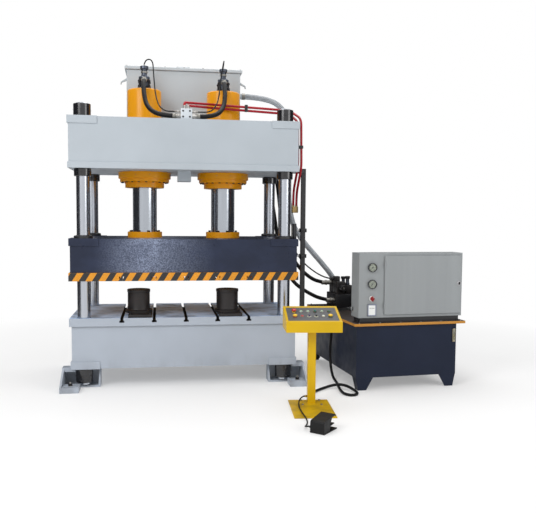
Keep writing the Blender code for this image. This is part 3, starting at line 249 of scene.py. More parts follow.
class Shading(Wiring):
    """The node tree of one material, with short calls for the nodes that the finishes use."""

    def __init__(self, name: str) -> None:
        """Starts the tree.

        Args:
            name: The material's name.
        """
        self.material = bpy.data.materials.new(name)
        self.material.use_nodes = True
        super().__init__(self.material.node_tree)
        self.shader = self.tree.nodes["Principled BSDF"]
        self.places = self.node("ShaderNodeTexCoord")
        self.place = self.places.outputs["Object"]

    def plain(self, **values: float | tuple) -> None:
        """Sets constant values on the shader's own sockets.

        Args:
            values: Socket names with underscores for spaces, and their values.
        """
        for name, value in values.items():
            self.shader.inputs[name.replace("_", " ")].default_value = value

    def noise(self, scale: float, detail: float = 3.0, stretch: Point = (1, 1, 1)) -> Socket:
        """Soft noise on the object's coordinates.

        Args:
            scale: Spots per metre.
            detail: Octaves.
            stretch: Scale along each axis, for streaks.

        Returns:
            The noise, from 0 to 1.
        """
        mapping = self.node("ShaderNodeMapping", {"Scale": tuple(stretch), "Vector": self.place})
        spots = {"Scale": scale, "Detail": detail, "Vector": mapping.outputs["Vector"]}
        return self.node("ShaderNodeTexNoise", spots).outputs["Fac"]

    def cells(self, scale: float) -> Socket:
        """Distance to the nearest of scattered points.

        Args:
            scale: Points per metre.

        Returns:
            The distance, from 0 at a point.
        """
        return self.node("ShaderNodeTexVoronoi", {"Scale": scale, "Vector": self.place}).outputs["Distance"]

    def parts(self, vector: Socket) -> bpy.types.bpy_prop_collection:
        """The X, Y and Z of a vector."""
        return self.node("ShaderNodeSeparateXYZ", {"Vector": vector}).outputs

    def axis(self, letter: str) -> Socket:
        """One object coordinate in metres, by its letter."""
        return self.parts(self.place)[letter]

    def mixed(self, factor: Socket, first: object, second: object) -> Socket:
        """Two colours mixed.

        Args:
            factor: 0 gives the first, 1 the second.
            first: A colour or a socket.
            second: A colour or a socket.

        Returns:
            The mixed colour.
        """
        colours = {"Factor": factor, 6: first, 7: second}
        return self.node("ShaderNodeMix", colours, data_type="RGBA").outputs[2]

    def into(self, socket: str, value: Socket) -> None:
        """Links a value to one of the shader's sockets."""
        self.link(value, self.shader.inputs[socket])

    def bumped(self, height: Socket, strength: float, depth: float) -> None:
        """Gives the surface relief.

        Args:
            height: The relief, from 0 to 1.
            strength: How strongly it shows.
            depth: Its depth in metres.
        """
        bump = self.node("ShaderNodeBump", {"Strength": strength, "Distance": depth, "Height": height})
        self.into("Normal", bump.outputs["Normal"])


@dataclass(frozen=True)
class Finish:
    """A surface finish: the name of its material and the record's slot that it belongs to."""

    name: str
    slot: Slot

    def material(self) -> bpy.types.Material:
        """The material, made at its first use."""
        return bpy.data.materials.get(self.name) or self.mix()

    def mix(self) -> bpy.types.Material:
        """Builds the material."""
        raise NotImplementedError


@dataclass(frozen=True)
class Paint(Finish):
    """Sprayed or moulded colour, with soft mottling, uneven gloss, a fine skin and patchy darkening low
    down.
    """

    colour: Colour
    roughness: float = 0.4
    mottle: float = 0.06
    spots: float = 2.2
    skin: float = 0.12
    grain: float = 260.0
    coat: float = 0.0
    shine: float = 0.5
    streaks: Point = (1, 1, 1)
    low_darkening: float = 0.0
    low_darkening_top: float = 0.3

    def mix(self) -> bpy.types.Material:
        """Builds the material."""
        look = Shading(self.name)
        look.plain(Coat_Weight=self.coat, Coat_Roughness=0.12, Specular_IOR_Level=self.shine)
        broad = look.spread(look.noise(self.spots, 4.0, self.streaks), NOISE_SPAN)
        colour = look.mixed(broad, shaded(self.colour, 1 - self.mottle),
                            shaded(self.colour, 1 + self.mottle))
        # Darker in patches towards the bottom of the piece, up to a given height.
        if self.low_darkening:
            low = look.spread(look.axis("Z"), (0.0, self.low_darkening_top), (1.0, 0.0))
            patchy = look.spread(look.noise(7.0, 6.0, (1, 1, 0.35)), (0.42, 0.7), (0.0, self.low_darkening))
            colour = look.mixed(look.maths("MULTIPLY", low, patchy), colour, shaded(tint(70, 62, 54)))
        look.into("Base Color", colour)
        uneven = look.noise(11.0, 5.0)
        look.into("Roughness", look.spread(uneven, NOISE_SPAN,
                                           (self.roughness * 0.8, self.roughness * 1.22)))
        look.bumped(look.noise(self.grain, 2.0), self.skin, 0.0004)
        return look.material


@dataclass(frozen=True)
class Hammered(Finish):
    """Dark hammered paint with dimples, and a painted highlight of pale flecks in its colour, densest at one
    place along X.
    """

    colour: Colour
    glint: Colour
    painted_sheen_at: float
    reach: Pair = (0.0, 0.6)

    def mix(self) -> bpy.types.Material:
        """Builds the material."""
        look = Shading(self.name)
        look.plain(Coat_Weight=0.08, Coat_Roughness=0.18, Specular_IOR_Level=0.22)
        cells = look.cells(95.0)
        dimples = look.spread(cells, (0.1, 0.62))
        broad = look.spread(look.noise(3.1, 5.0, (1, 1, 1.6)), (0.42, 0.68))
        # Painted highlight: pale glint flecks mixed into the colour, densest at one place along X and fading
        # out to the sides.
        away = look.maths("ABSOLUTE", look.maths("SUBTRACT", look.axis("X"), self.painted_sheen_at))
        painted_sheen = look.spread(away, self.reach, (1.0, 0.0))
        patchy = look.spread(look.noise(2.4, 4.0), (0.36, 0.62), (0.55, 1.0))
        share = look.maths("MULTIPLY", look.maths("POWER", painted_sheen, 1.4), patchy)
        fleck = look.maths("MULTIPLY", look.spread(look.noise(125.0, 2.0), (0.36, 0.68), (0.2, 1.0)), share)
        ground = look.mixed(broad, shaded(self.colour, 0.85), shaded(self.colour, 1.2))
        look.into("Base Color", look.mixed(fleck, ground, shaded(self.glint)))
        look.into("Roughness", look.spread(look.noise(18.0, 4.0), NOISE_SPAN, (0.26, 0.5)))
        look.bumped(dimples, 0.35, 0.0012)
        return look.material


@dataclass(frozen=True)
class Chrome(Finish):
    """Hard chrome on a ground bar, with faint lengthwise wipe marks and grinding rings."""

    colour: Colour
    roughness: float = 0.12

    def mix(self) -> bpy.types.Material:
        """Builds the material."""
        look = Shading(self.name)
        look.plain(Metallic=1.0)
        wiped = look.noise(34.0, 4.0, (1, 1, 0.06))
        tone = look.spread(wiped, NOISE_SPAN)
        look.into("Base Color", look.mixed(tone, shaded(self.colour, 0.95), shaded(self.colour, 1.02)))
        look.into("Roughness", look.spread(wiped, NOISE_SPAN, (self.roughness, self.roughness * 1.4)))
        rings = look.noise(900.0, 2.0, (0.02, 0.02, 1))
        look.bumped(rings, 0.03, 0.0001)
        return look.material


@dataclass(frozen=True)
class BareSteel(Finish):
    """Bare machined or plated steel, with a stain and a direction of cut."""

    colour: Colour
    stain: Colour
    stained: float = 0.5
    roughness: float = 0.4
    cut: Point = (1, 1, 1)
    metallic: float = 0.85

    def mix(self) -> bpy.types.Material:
        """Builds the material."""
        look = Shading(self.name)
        look.plain(Metallic=self.metallic)
        marks = look.noise(26.0, 3.0, self.cut)
        patches = look.spread(look.noise(5.5, 7.0), (0.46, 0.66), (0.0, self.stained))
        ground = look.mixed(marks, shaded(self.colour, 0.85), shaded(self.colour, 1.15))
        look.into("Base Color", look.mixed(patches, ground, shaded(self.stain)))
        dull = look.maths("ADD", look.spread(marks, NOISE_SPAN, (0.0, 0.12)), self.roughness)
        look.into("Roughness", look.maths("ADD", dull, look.maths("MULTIPLY", patches, 0.2)))
        look.bumped(marks, 0.12, 0.0003)
        return look.material


@dataclass(frozen=True)
class HazardPaint(Finish):
    """Orange paint whose front edge carries slanting black stripes, scuffed along the edge."""

    colour: Colour
    stripe: Colour
    front: float
    period: float = 0.126
    slant: float = 0.62

    def mix(self) -> bpy.types.Material:
        """Builds the material."""
        look = Shading(self.name)
        look.plain(Coat_Weight=0.15, Coat_Roughness=0.2)
        along = look.maths("SUBTRACT", look.axis("X"), look.maths("MULTIPLY", look.axis("Z"), self.slant))
        wave = look.maths("PINGPONG", along, self.period / 2)
        black = look.spread(wave, (self.period * 0.243, self.period * 0.257))
        on_front = look.spread(look.axis("Y"), (self.front + 0.004, self.front + 0.005), (1.0, 0.0))
        broad = look.spread(look.noise(4.0, 5.0), NOISE_SPAN)
        ground = look.mixed(broad, shaded(self.colour, 0.9), shaded(self.colour, 1.06))
        painted = look.mixed(look.maths("MULTIPLY", black, on_front), ground, shaded(self.stripe))
        worn = look.spread(look.noise(60.0, 6.0), (0.68, 0.76), (0.0, 0.7))
        look.into("Base Color", look.mixed(worn, painted, shaded(tint(96, 84, 72))))
        look.into("Roughness", look.spread(look.noise(14.0, 4.0), NOISE_SPAN, (0.32, 0.5)))
        look.bumped(look.noise(240.0, 2.0), 0.1, 0.0004)
        return look.material


@dataclass(frozen=True)
class CastIron(Finish):
    """Oily black casting, rough from the sand."""

    colour: Colour

    def mix(self) -> bpy.types.Material:
        """Builds the material."""
        look = Shading(self.name)
        look.plain(Metallic=0.35)
        sand = look.noise(150.0, 6.0)
        oil = look.spread(look.noise(9.0, 4.0), (0.4, 0.65))
        look.into("Base Color", look.mixed(oil, shaded(self.colour, 1.5), shaded(self.colour, 0.7)))
        look.into("Roughness", look.spread(oil, (0.0, 1.0), (0.62, 0.34)))
        look.bumped(sand, 0.4, 0.0008)
        return look.material


@dataclass(frozen=True)
class HoseSkin(Finish):
    """A hose's outside, with a helix of fabric or wire that follows it."""

    colour: Colour
    rib: Colour
    pitch: float
    rib_share: float = 0.3
    relief: float = 0.3
    roughness: float = 0.45
    clear: float = 0.0

    def mix(self) -> bpy.types.Material:
        """Builds the material."""
        look = Shading(self.name)
        look.plain(Transmission_Weight=self.clear, IOR=1.45, Specular_IOR_Level=0.2)
        along = look.parts(look.places.outputs["UV"])
        phase = look.maths("ADD", look.maths("DIVIDE", along["Y"], self.pitch), along["X"])
        wave = look.maths("PINGPONG", phase, 0.5)
        helix = look.spread(wave, (0.5 - self.rib_share, 0.5))
        dusty = look.spread(look.noise(16.0, 5.0), (0.35, 0.7))
        ground = look.mixed(dusty, shaded(self.colour, 0.85), shaded(self.colour, 1.2))
        look.into("Base Color", look.mixed(helix, ground, shaded(self.rib)))
        look.into("Roughness", look.spread(dusty, (0.0, 1.0), (self.roughness * 0.8, self.roughness * 1.3)))
        look.bumped(helix, self.relief, 0.001)
        return look.material


@dataclass(frozen=True)
class Glass(Finish):
    """A clear or tinted window."""

    colour: Colour
    roughness: float = 0.03
    clear: float = 1.0

    def mix(self) -> bpy.types.Material:
        """Builds the material."""
        look = Shading(self.name)
        look.plain(Transmission_Weight=self.clear, IOR=1.46, Base_Color=shaded(self.colour))
        smear = look.noise(40.0, 3.0)
        look.into("Roughness", look.spread(smear, (0.4, 0.8), (self.roughness, self.roughness * 3)))
        return look.material


GROUND_ALONG_X: Point = (1, 30, 30)
PALE_GREY = Paint("crown_grey", Slot.PALE_GREY, tint(177, 185, 192), 0.42, 0.035, shine=0.4)
TANK_GREY = Paint("header_tank_grey", Slot.PALE_GREY, tint(184, 190, 194), 0.45, 0.03, streaks=(1, 1, 0.3))
MANIFOLD_GREY = Paint("manifold_grey", Slot.MANIFOLD, tint(203, 210, 216), 0.4)
BED_GREY = Paint("bed_grey", Slot.BED_GREY, tint(170, 178, 189), 0.44, 0.045, low_darkening=0.5, low_darkening_top=0.34)
PORT_STEEL = BareSteel("port_steel", Slot.MANIFOLD, tint(190, 188, 184), tint(120, 112, 100), 0.4, 0.3)
TABLE_STEEL = BareSteel("table_ground", Slot.TABLE, tint(180, 204, 236), tint(80, 88, 102), 0.6, 0.5,
                        GROUND_ALONG_X, 0.0)
# Near-black for the table's slots: oil, and painted shade in the recesses.
SLOT_OIL_AND_SHADE = BareSteel("slot_oil_and_painted_shade", Slot.TABLE, tint(34, 34, 36), tint(20, 19, 18), 0.7, 0.6,
                       GROUND_ALONG_X, 0.2)
# The slide's paint, with a painted highlight of pale flecks round x = -1.10.
SLATE = Hammered("slide_slate", Slot.SLATE, tint(37, 44, 64), tint(176, 188, 216), -1.10)
CHROME = Chrome("column_chrome", Slot.CHROME, tint(188, 192, 200), 0.2)
PLUNGER_CHROME = Chrome("plunger_chrome", Slot.CHROME, tint(178, 183, 190), 0.16)
NUT_BLACK = Paint("nut_black", Slot.BLACK_PAINT, tint(24, 24, 27), 0.2, 0.1, 6.0, 0.1, coat=0.5)
ORANGE = Paint("cylinder_orange", Slot.CYLINDER_ORANGE, tint(226, 151, 10), 0.3, 0.05, coat=0.06,
               shine=0.22)
ZINC = BareSteel("plated_steel", Slot.ZINC, tint(158, 156, 150), tint(104, 98, 90), 0.5, 0.3)
VALVE_STEEL = BareSteel("valve_slate_steel", Slot.ZINC, tint(86, 92, 104), tint(46, 44, 46), 0.6, 0.34)
BLACK_OXIDE = BareSteel("bolt_black", Slot.BLACK_PAINT, tint(52, 50, 52), tint(30, 28, 27), 0.5, 0.38)
RED_PIPE = Paint("pipe_red", Slot.RED_PIPE, tint(164, 16, 32), 0.32, 0.08, coat=0.1, shine=0.3)
PIPE_END = BareSteel("pipe_end_yellow_zinc", Slot.RED_PIPE, tint(196, 170, 118), tint(130, 100, 62), 0.5,
                     0.32)
BLACK_PAINT = Paint("machine_black", Slot.BLACK_PAINT, tint(34, 34, 37), 0.38, 0.12)
SENSOR_BLACK = Paint("sensor_black", Slot.BLACK_PLASTIC, tint(28, 28, 30), 0.42, 0.08)
CAST = CastIron("die_iron", Slot.CAST_IRON, tint(36, 33, 33))
NAVY = Paint("tank_navy", Slot.NAVY, tint(29, 36, 54), 0.4, 0.1, 3.0, shine=0.16)
COVER_ORANGE = Paint("cover_orange", Slot.COVER_ORANGE, tint(190, 132, 52), 0.4, 0.08, shine=0.3)
# Dark brown for the tank cover's top faces: painted shade.
COVER_TOP_SHADE = Paint("cover_top_painted_shade", Slot.COVER_ORANGE, tint(52, 44, 40), 0.34, 0.2, 5.0)
CABINET_GREY = Paint("cabinet_grey", Slot.CABINET_GREY, tint(144, 148, 150), 0.4, 0.05, 9.0,
                     streaks=(1, 1, 0.05), shine=0.4)
DIAL_CREAM = Paint("dial_cream", Slot.IVORY_PLASTIC, tint(198, 196, 176), 0.5, 0.03)
METER_FRAME = Paint("meter_frame", Slot.IVORY_PLASTIC, tint(132, 138, 160), 0.4, 0.03)
SWITCH_RED = Paint("switch_red", Slot.RED_PLASTIC, tint(140, 26, 32), 0.3, 0.04, shine=0.3)
DIAL_WHITE = Paint("dial_white", Slot.IVORY_PLASTIC, tint(232, 234, 232), 0.5, 0.02)
LOCK_STEEL = BareSteel("lock_steel", Slot.LOCK_CHROME, tint(176, 176, 178), tint(90, 90, 92), 0.3, 0.25)
RED_PLASTIC = Paint("button_red", Slot.RED_PLASTIC, tint(186, 22, 30), 0.28, 0.04, coat=0.4)
MOTOR_SLATE = Paint("motor_slate", Slot.MOTOR, tint(58, 70, 92), 0.45, 0.1, 8.0)
YELLOW = Paint("stand_yellow", Slot.YELLOW_PAINT, tint(212, 172, 12), 0.34, 0.05, coat=0.05, shine=0.25,
               low_darkening=0.5, low_darkening_top=0.05)
PANEL_GREY = Paint("panel_grey", Slot.IVORY_PLASTIC, tint(82, 83, 85), 0.4, 0.04, 30.0,
                   streaks=(0.05, 1, 1))
GREEN_PLASTIC = Paint("button_green", Slot.GREEN_PLASTIC, tint(20, 92, 62), 0.3, 0.05, coat=0.4)
TEAL_PLASTIC = Paint("selector_teal", Slot.GREEN_PLASTIC, tint(30, 110, 104), 0.34, 0.05)
VIOLET_PLASTIC = Paint("selector_violet", Slot.BLACK_PLASTIC, tint(74, 62, 96), 0.34, 0.05)
BLACK_PLASTIC = Paint("selector_black", Slot.BLACK_PLASTIC, tint(30, 30, 32), 0.36, 0.06)
IVORY_PLASTIC = Paint("button_ivory", Slot.IVORY_PLASTIC, tint(214, 220, 206), 0.3, 0.03, coat=0.3)
YELLOW_PLASTIC = Paint("palm_yellow", Slot.YELLOW_PLASTIC, tint(236, 190, 28), 0.28, 0.04, coat=0.4)
LAMP_LENS = Glass("lamp_lens", Slot.IVORY_PLASTIC, tint(196, 224, 204), 0.2, 0.35)
WINDOW = Glass("window_glass", Slot.GAUGE_GLASS, tint(236, 242, 242))
OIL = Paint("gauge_oil", Slot.GAUGE_GLASS, tint(150, 132, 84), 0.3, 0.05)
BRASS = BareSteel("fitting_brass", Slot.GAUGE_GLASS, tint(160, 152, 132), tint(96, 84, 64), 0.5, 0.3)
FOOT_BLACK = Paint("foot_switch_black", Slot.FOOT_BLACK, tint(17, 17, 18), 0.5, 0.12, 14.0, 0.35, 420.0,
                   shine=0.25)
RUBBER = HoseSkin("hose_rubber", Slot.RUBBER, tint(17, 17, 19), tint(25, 25, 27), 0.012, 0.25, 0.15)
CABLE = HoseSkin("cable_rubber", Slot.RUBBER, tint(18, 18, 19), tint(24, 24, 25), 0.2, 0.1, 0.05)
CONDUIT = HoseSkin("conduit_black", Slot.RUBBER, tint(15, 15, 16), tint(30, 30, 32), 0.011, 0.4, 0.6, 0.35)
CLEAR_HOSE = HoseSkin("suction_clear", Slot.CLEAR_HOSE, tint(188, 193, 198), tint(128, 134, 140), 0.016,
                      0.22, 0.4, 0.22, 0.3)


def aimed(start: Point, end: Point) -> Matrix:
    """The place whose Z axis runs from one point to another, with its origin at the first.

    Args:
        start: The origin.
        end: A point on the Z axis.

    Returns:
        The matrix.
    """
    along = Vector(end) - Vector(start)
    return Matrix.Translation(Vector(start)) @ along.to_track_quat("Z", "Y").to_matrix().to_4x4()


class Form:
    """One piece in the making: shapes in one place, each with its finish, joined as one mesh."""

    FLAT_AREA = 0.004
    FLAT_WIDTH = 0.012
    LEVEL = 0.99995
    SEAM_ANGLE = math.radians(0.5)
    EDGE_ANGLE = math.radians(40)
    EDGE_LENGTH = 6

    def __init__(self, name: str, place: Matrix = PRESS) -> None:
        """Starts an empty piece.

        Args:
            name: The piece's name.
            place: Where the shapes' own coordinates lie in the row frame.
        """
        self.name = name
        self.place = place
        self.bm = bmesh.new()
        self.bm.loops.layers.uv.new("along")
        self.finishes: list[Finish] = []

    def index_of(self, finish: Finish) -> int:
        """A finish's number on the piece, given at its first use.

        Args:
            finish: The finish.

        Returns:
            Its number.
        """
        if finish not in self.finishes:
            self.finishes.append(finish)
        return self.finishes.index(finish)

    def add(self, shape: bmesh.types.BMesh, finish: Finish, place: Matrix | None = None,
            flat: frozenset[bmesh.types.BMFace] = frozenset()) -> None:
        """Joins a closed shape to the piece.

        Args:
            shape: The shape, which is used up.
            finish: Its finish.
            place: Where to put it first.
            flat: The faces that are shaded flat.
        """
        index = self.index_of(finish)
        bmesh.ops.remove_doubles(shape, verts=shape.verts[:], dist=SAME_CORNER)
        bmesh.ops.recalc_face_normals(shape, faces=shape.faces[:])
        for face in shape.faces:
            face.material_index = index
            face.smooth = face not in flat
        if place is not None:
            shape.transform(place)
        mesh = bpy.data.meshes.new("shape")
        shape.to_mesh(mesh)
        shape.free()
        self.bm.from_mesh(mesh)
        bpy.data.meshes.remove(mesh)

    def block(self, low: Point, high: Point, finish: Finish, chamfer: float = 0.003,
              segments: int = 2) -> None:
        """Adds a block with rounded edges.

        Args:
            low: Its lowest corner.
            high: Its highest corner.
            finish: Its finish.
            chamfer: How far its edges are rounded.
            segments: Steps of the rounding.
        """
        shape = bmesh.new()
        middle, size = (Vector(low) + Vector(high)) / 2, Vector(high) - Vector(low)
        bmesh.ops.create_cube(shape, size=1.0, matrix=shift(*middle) @ Matrix.Diagonal((*size, 1.0)))
        if chamfer:
            bmesh.ops.bevel(shape, geom=shape.edges[:], offset=chamfer, segments=segments, profile=0.5,
                            affect="EDGES")
        self.add(shape, finish)

    def turn(self, profile: Sequence[Point], finish: Finish, place: Matrix | None = None,
             steps: int = 64) -> None:
        """Adds a turned shape.

        Args:
            profile: Points of (radius, z) from axis to axis, or round a ring.
            finish: Its finish.
            place: Where to put it, with its axis along the place's Z.
            steps: Flats round it.
        """
        shape = bmesh.new()
        points = [shape.verts.new((radius, 0, z)) for radius, z in profile]
        edges = [shape.edges.new(pair) for pair in zip(points, points[1:])]
        if profile[0][0] > 0 and profile[-1][0] > 0:
            edges.append(shape.edges.new((points[-1], points[0])))
        bmesh.ops.spin(shape, geom=points + edges, cent=(0, 0, 0), axis=(0, 0, 1), angle=FULL_TURN,
                       steps=steps)
        self.add(shape, finish, place)

    def rod(self, radius: float, start: Point, end: Point, finish: Finish, chamfer: float = 0.001,
            steps: int = 40) -> None:
        """Adds a round bar with broken edges.

        Args:
            radius: Its radius.
            start: The middle of one end.
            end: The middle of the other end.
            finish: Its finish.
            chamfer: How far its edges are broken.
            steps: Flats round it.
        """
        length = (Vector(end) - Vector(start)).length
        edge = min(chamfer, radius / 2, length / 3)
        profile = [(0, 0), (radius - edge, 0), (radius, edge), (radius, length - edge),
                   (radius - edge, length), (0, length)]
        self.turn(profile, finish, aimed(start, end), steps)

    def hexagon(self, width: float, start: Point, end: Point, finish: Finish) -> None:
        """Adds a hexagon nut or bolt head.

        Args:
            width: Its width across the flats.
            start: The middle of one face.
            end: The middle of the other face.
            finish: Its finish.
        """
        self.rod(width / math.sqrt(3), start, end, finish, width * 0.06, 6)

    def prism(self, outline: Sequence[Point], axis: str, start: float, end: float, finish: Finish,
              chamfer: float = 0.0) -> None:
        """Adds an outline carried along an axis.

        Args:
            outline: Its corners, in the two other axes.
            axis: X, Y or Z.
            start: Where it starts along the axis.
            end: Where it ends.
            finish: Its finish.
            chamfer: How far its edges are rounded.
        """
        shape = bmesh.new()
        places = {"X": lambda u, v: (start, u, v), "Y": lambda u, v: (u, start, v),
                  "Z": lambda u, v: (u, v, start)}
        face = shape.faces.new([shape.verts.new(places[axis](u, v)) for u, v in outline])
        grown = bmesh.ops.extrude_face_region(shape, geom=[face])["geom"]
        along = Vector([float(letter == axis) for letter in "XYZ"]) * (end - start)
        bmesh.ops.translate(shape, verts=[v for v in grown if isinstance(v, bmesh.types.BMVert)], vec=along)
        bmesh.ops.recalc_face_normals(shape, faces=shape.faces[:])
        if chamfer:
            bmesh.ops.bevel(shape, geom=shape.edges[:], offset=chamfer, segments=2, profile=0.5,
                            affect="EDGES", clamp_overlap=True)
        self.add(shape, finish)

    def tube(self, path: Sequence[Point], radius: float, finish: Finish, steps: int = 20) -> None:
        """Adds a round tube along a path, with its length and its turn written to its UV map.

        Args:
            path: The points of its middle line.
            radius: Its radius.
            finish: Its finish.
            steps: Flats round it.
        """
        places = [Vector(point) for point in path]
        shape = bmesh.new()
        layer = shape.loops.layers.uv.new("along")
        side = (places[1] - places[0]).orthogonal().normalized()
        rings, walked = [], [0.0]
        for index, place in enumerate(places):
            ahead, behind = places[min(index + 1, len(places) - 1)], places[max(index - 1, 0)]
            if index:
                walked.append(walked[-1] + (place - behind).length)
            along = (ahead - behind).normalized()
            side = (side - along * side.dot(along)).normalized()
            other = along.cross(side)
            angles = [FULL_TURN * step / steps for step in range(steps)]
            rings.append([shape.verts.new(place + radius * (side * math.cos(a) + other * math.sin(a)))
                          for a in angles])
        for index, (ring, following) in enumerate(zip(rings, rings[1:])):
            for step in range(steps):
                after = (step + 1) % steps
                face = shape.faces.new((ring[step], ring[after], following[after], following[step]))
                spots = ((step, index), (step + 1, index), (step + 1, index + 1), (step, index + 1))
                for loop, (turned, row) in zip(face.loops, spots):
                    loop[layer].uv = (turned / steps, walked[row])
        shape.faces.new(rings[0][::-1])
        shape.faces.new(rings[-1])
        self.add(shape, finish)

    def softened(self, node: str, finish: Finish, width: float) -> None:
        """Adds a CAD node's own shape with its long sharp edges rounded.

        Args:
            node: The node.
            finish: Its finish.
            width: How far the edges are rounded.
        """
        shape = bmesh.new()
        shape.from_mesh(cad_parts[node].data)
        bmesh.ops.remove_doubles(shape, verts=shape.verts[:], dist=SAME_POINT)
        bmesh.ops.dissolve_limit(shape, angle_limit=self.SEAM_ANGLE, verts=shape.verts[:],
                                 edges=shape.edges[:])
        sharp = [edge for edge in shape.edges
                 if len(edge.link_faces) == 2 and edge.calc_face_angle() > self.EDGE_ANGLE
                 and edge.calc_length() > self.EDGE_LENGTH * width]
        bmesh.ops.bevel(shape, geom=sharp, offset=width, segments=2, profile=0.5, affect="EDGES",
                        clamp_overlap=True)
        flat = {face for face in shape.faces if face.calc_area() > max(
            self.FLAT_AREA, self.FLAT_WIDTH * max(edge.calc_length() for edge in face.edges))}
        reached = list(flat)
        while reached:
            face = reached.pop()
            for edge in face.edges:
                for beside in edge.link_faces:
                    if beside not in flat and beside.normal.dot(face.normal) > self.LEVEL:
                        flat.add(beside)
                        reached.append(beside)
        self.add(shape, finish, self.place.inverted(), frozenset(flat))

    def repaint(self, finish: Finish, chosen: Callable[[Vector, Vector], bool]) -> None:
        """Gives another finish to some of the faces that are there already.

        Args:
            finish: The finish.
            chosen: Whether a face is meant, told from its middle and its normal.
        """
        index = self.index_of(finish)
        self.bm.normal_update()
        for face in self.bm.faces:
            if chosen(face.calc_center_median(), face.normal):
                face.material_index = index

    def build(self, body: Body, *nodes: str) -> bpy.types.Object:
        """Turns the piece into an object that rides on a body.

        Args:
            body: The body.
            nodes: The CAD nodes that it stands for.

        Returns:
            The object.
        """
        mesh = bpy.data.meshes.new(self.name)
        self.bm.transform(self.place)
        self.bm.to_mesh(mesh)
        self.bm.free()
        flat = [face.index for face in mesh.polygons if not face.use_smooth]
        mesh.set_sharp_from_angle(angle=SHARP_FROM)
        for index in flat:
            mesh.polygons[index].use_smooth = False
        for finish in self.finishes:
            mesh.materials.append(finish.material())
        piece = bpy.data.objects.new(self.name, mesh)
        bpy.context.scene.collection.objects.link(piece)
        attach(piece, body.value)
        if nodes:
            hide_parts(*nodes)
        LOG.info("%s rides on %s with %d faces", self.name, body.value, len(mesh.polygons))
        return piece


class Item(Enum):
    """What a pattern repeats."""

    HEX = "hexagon head"
    SOCKET = "round head"
    BAR = "bar"
    DISC = "disc that faces outward"


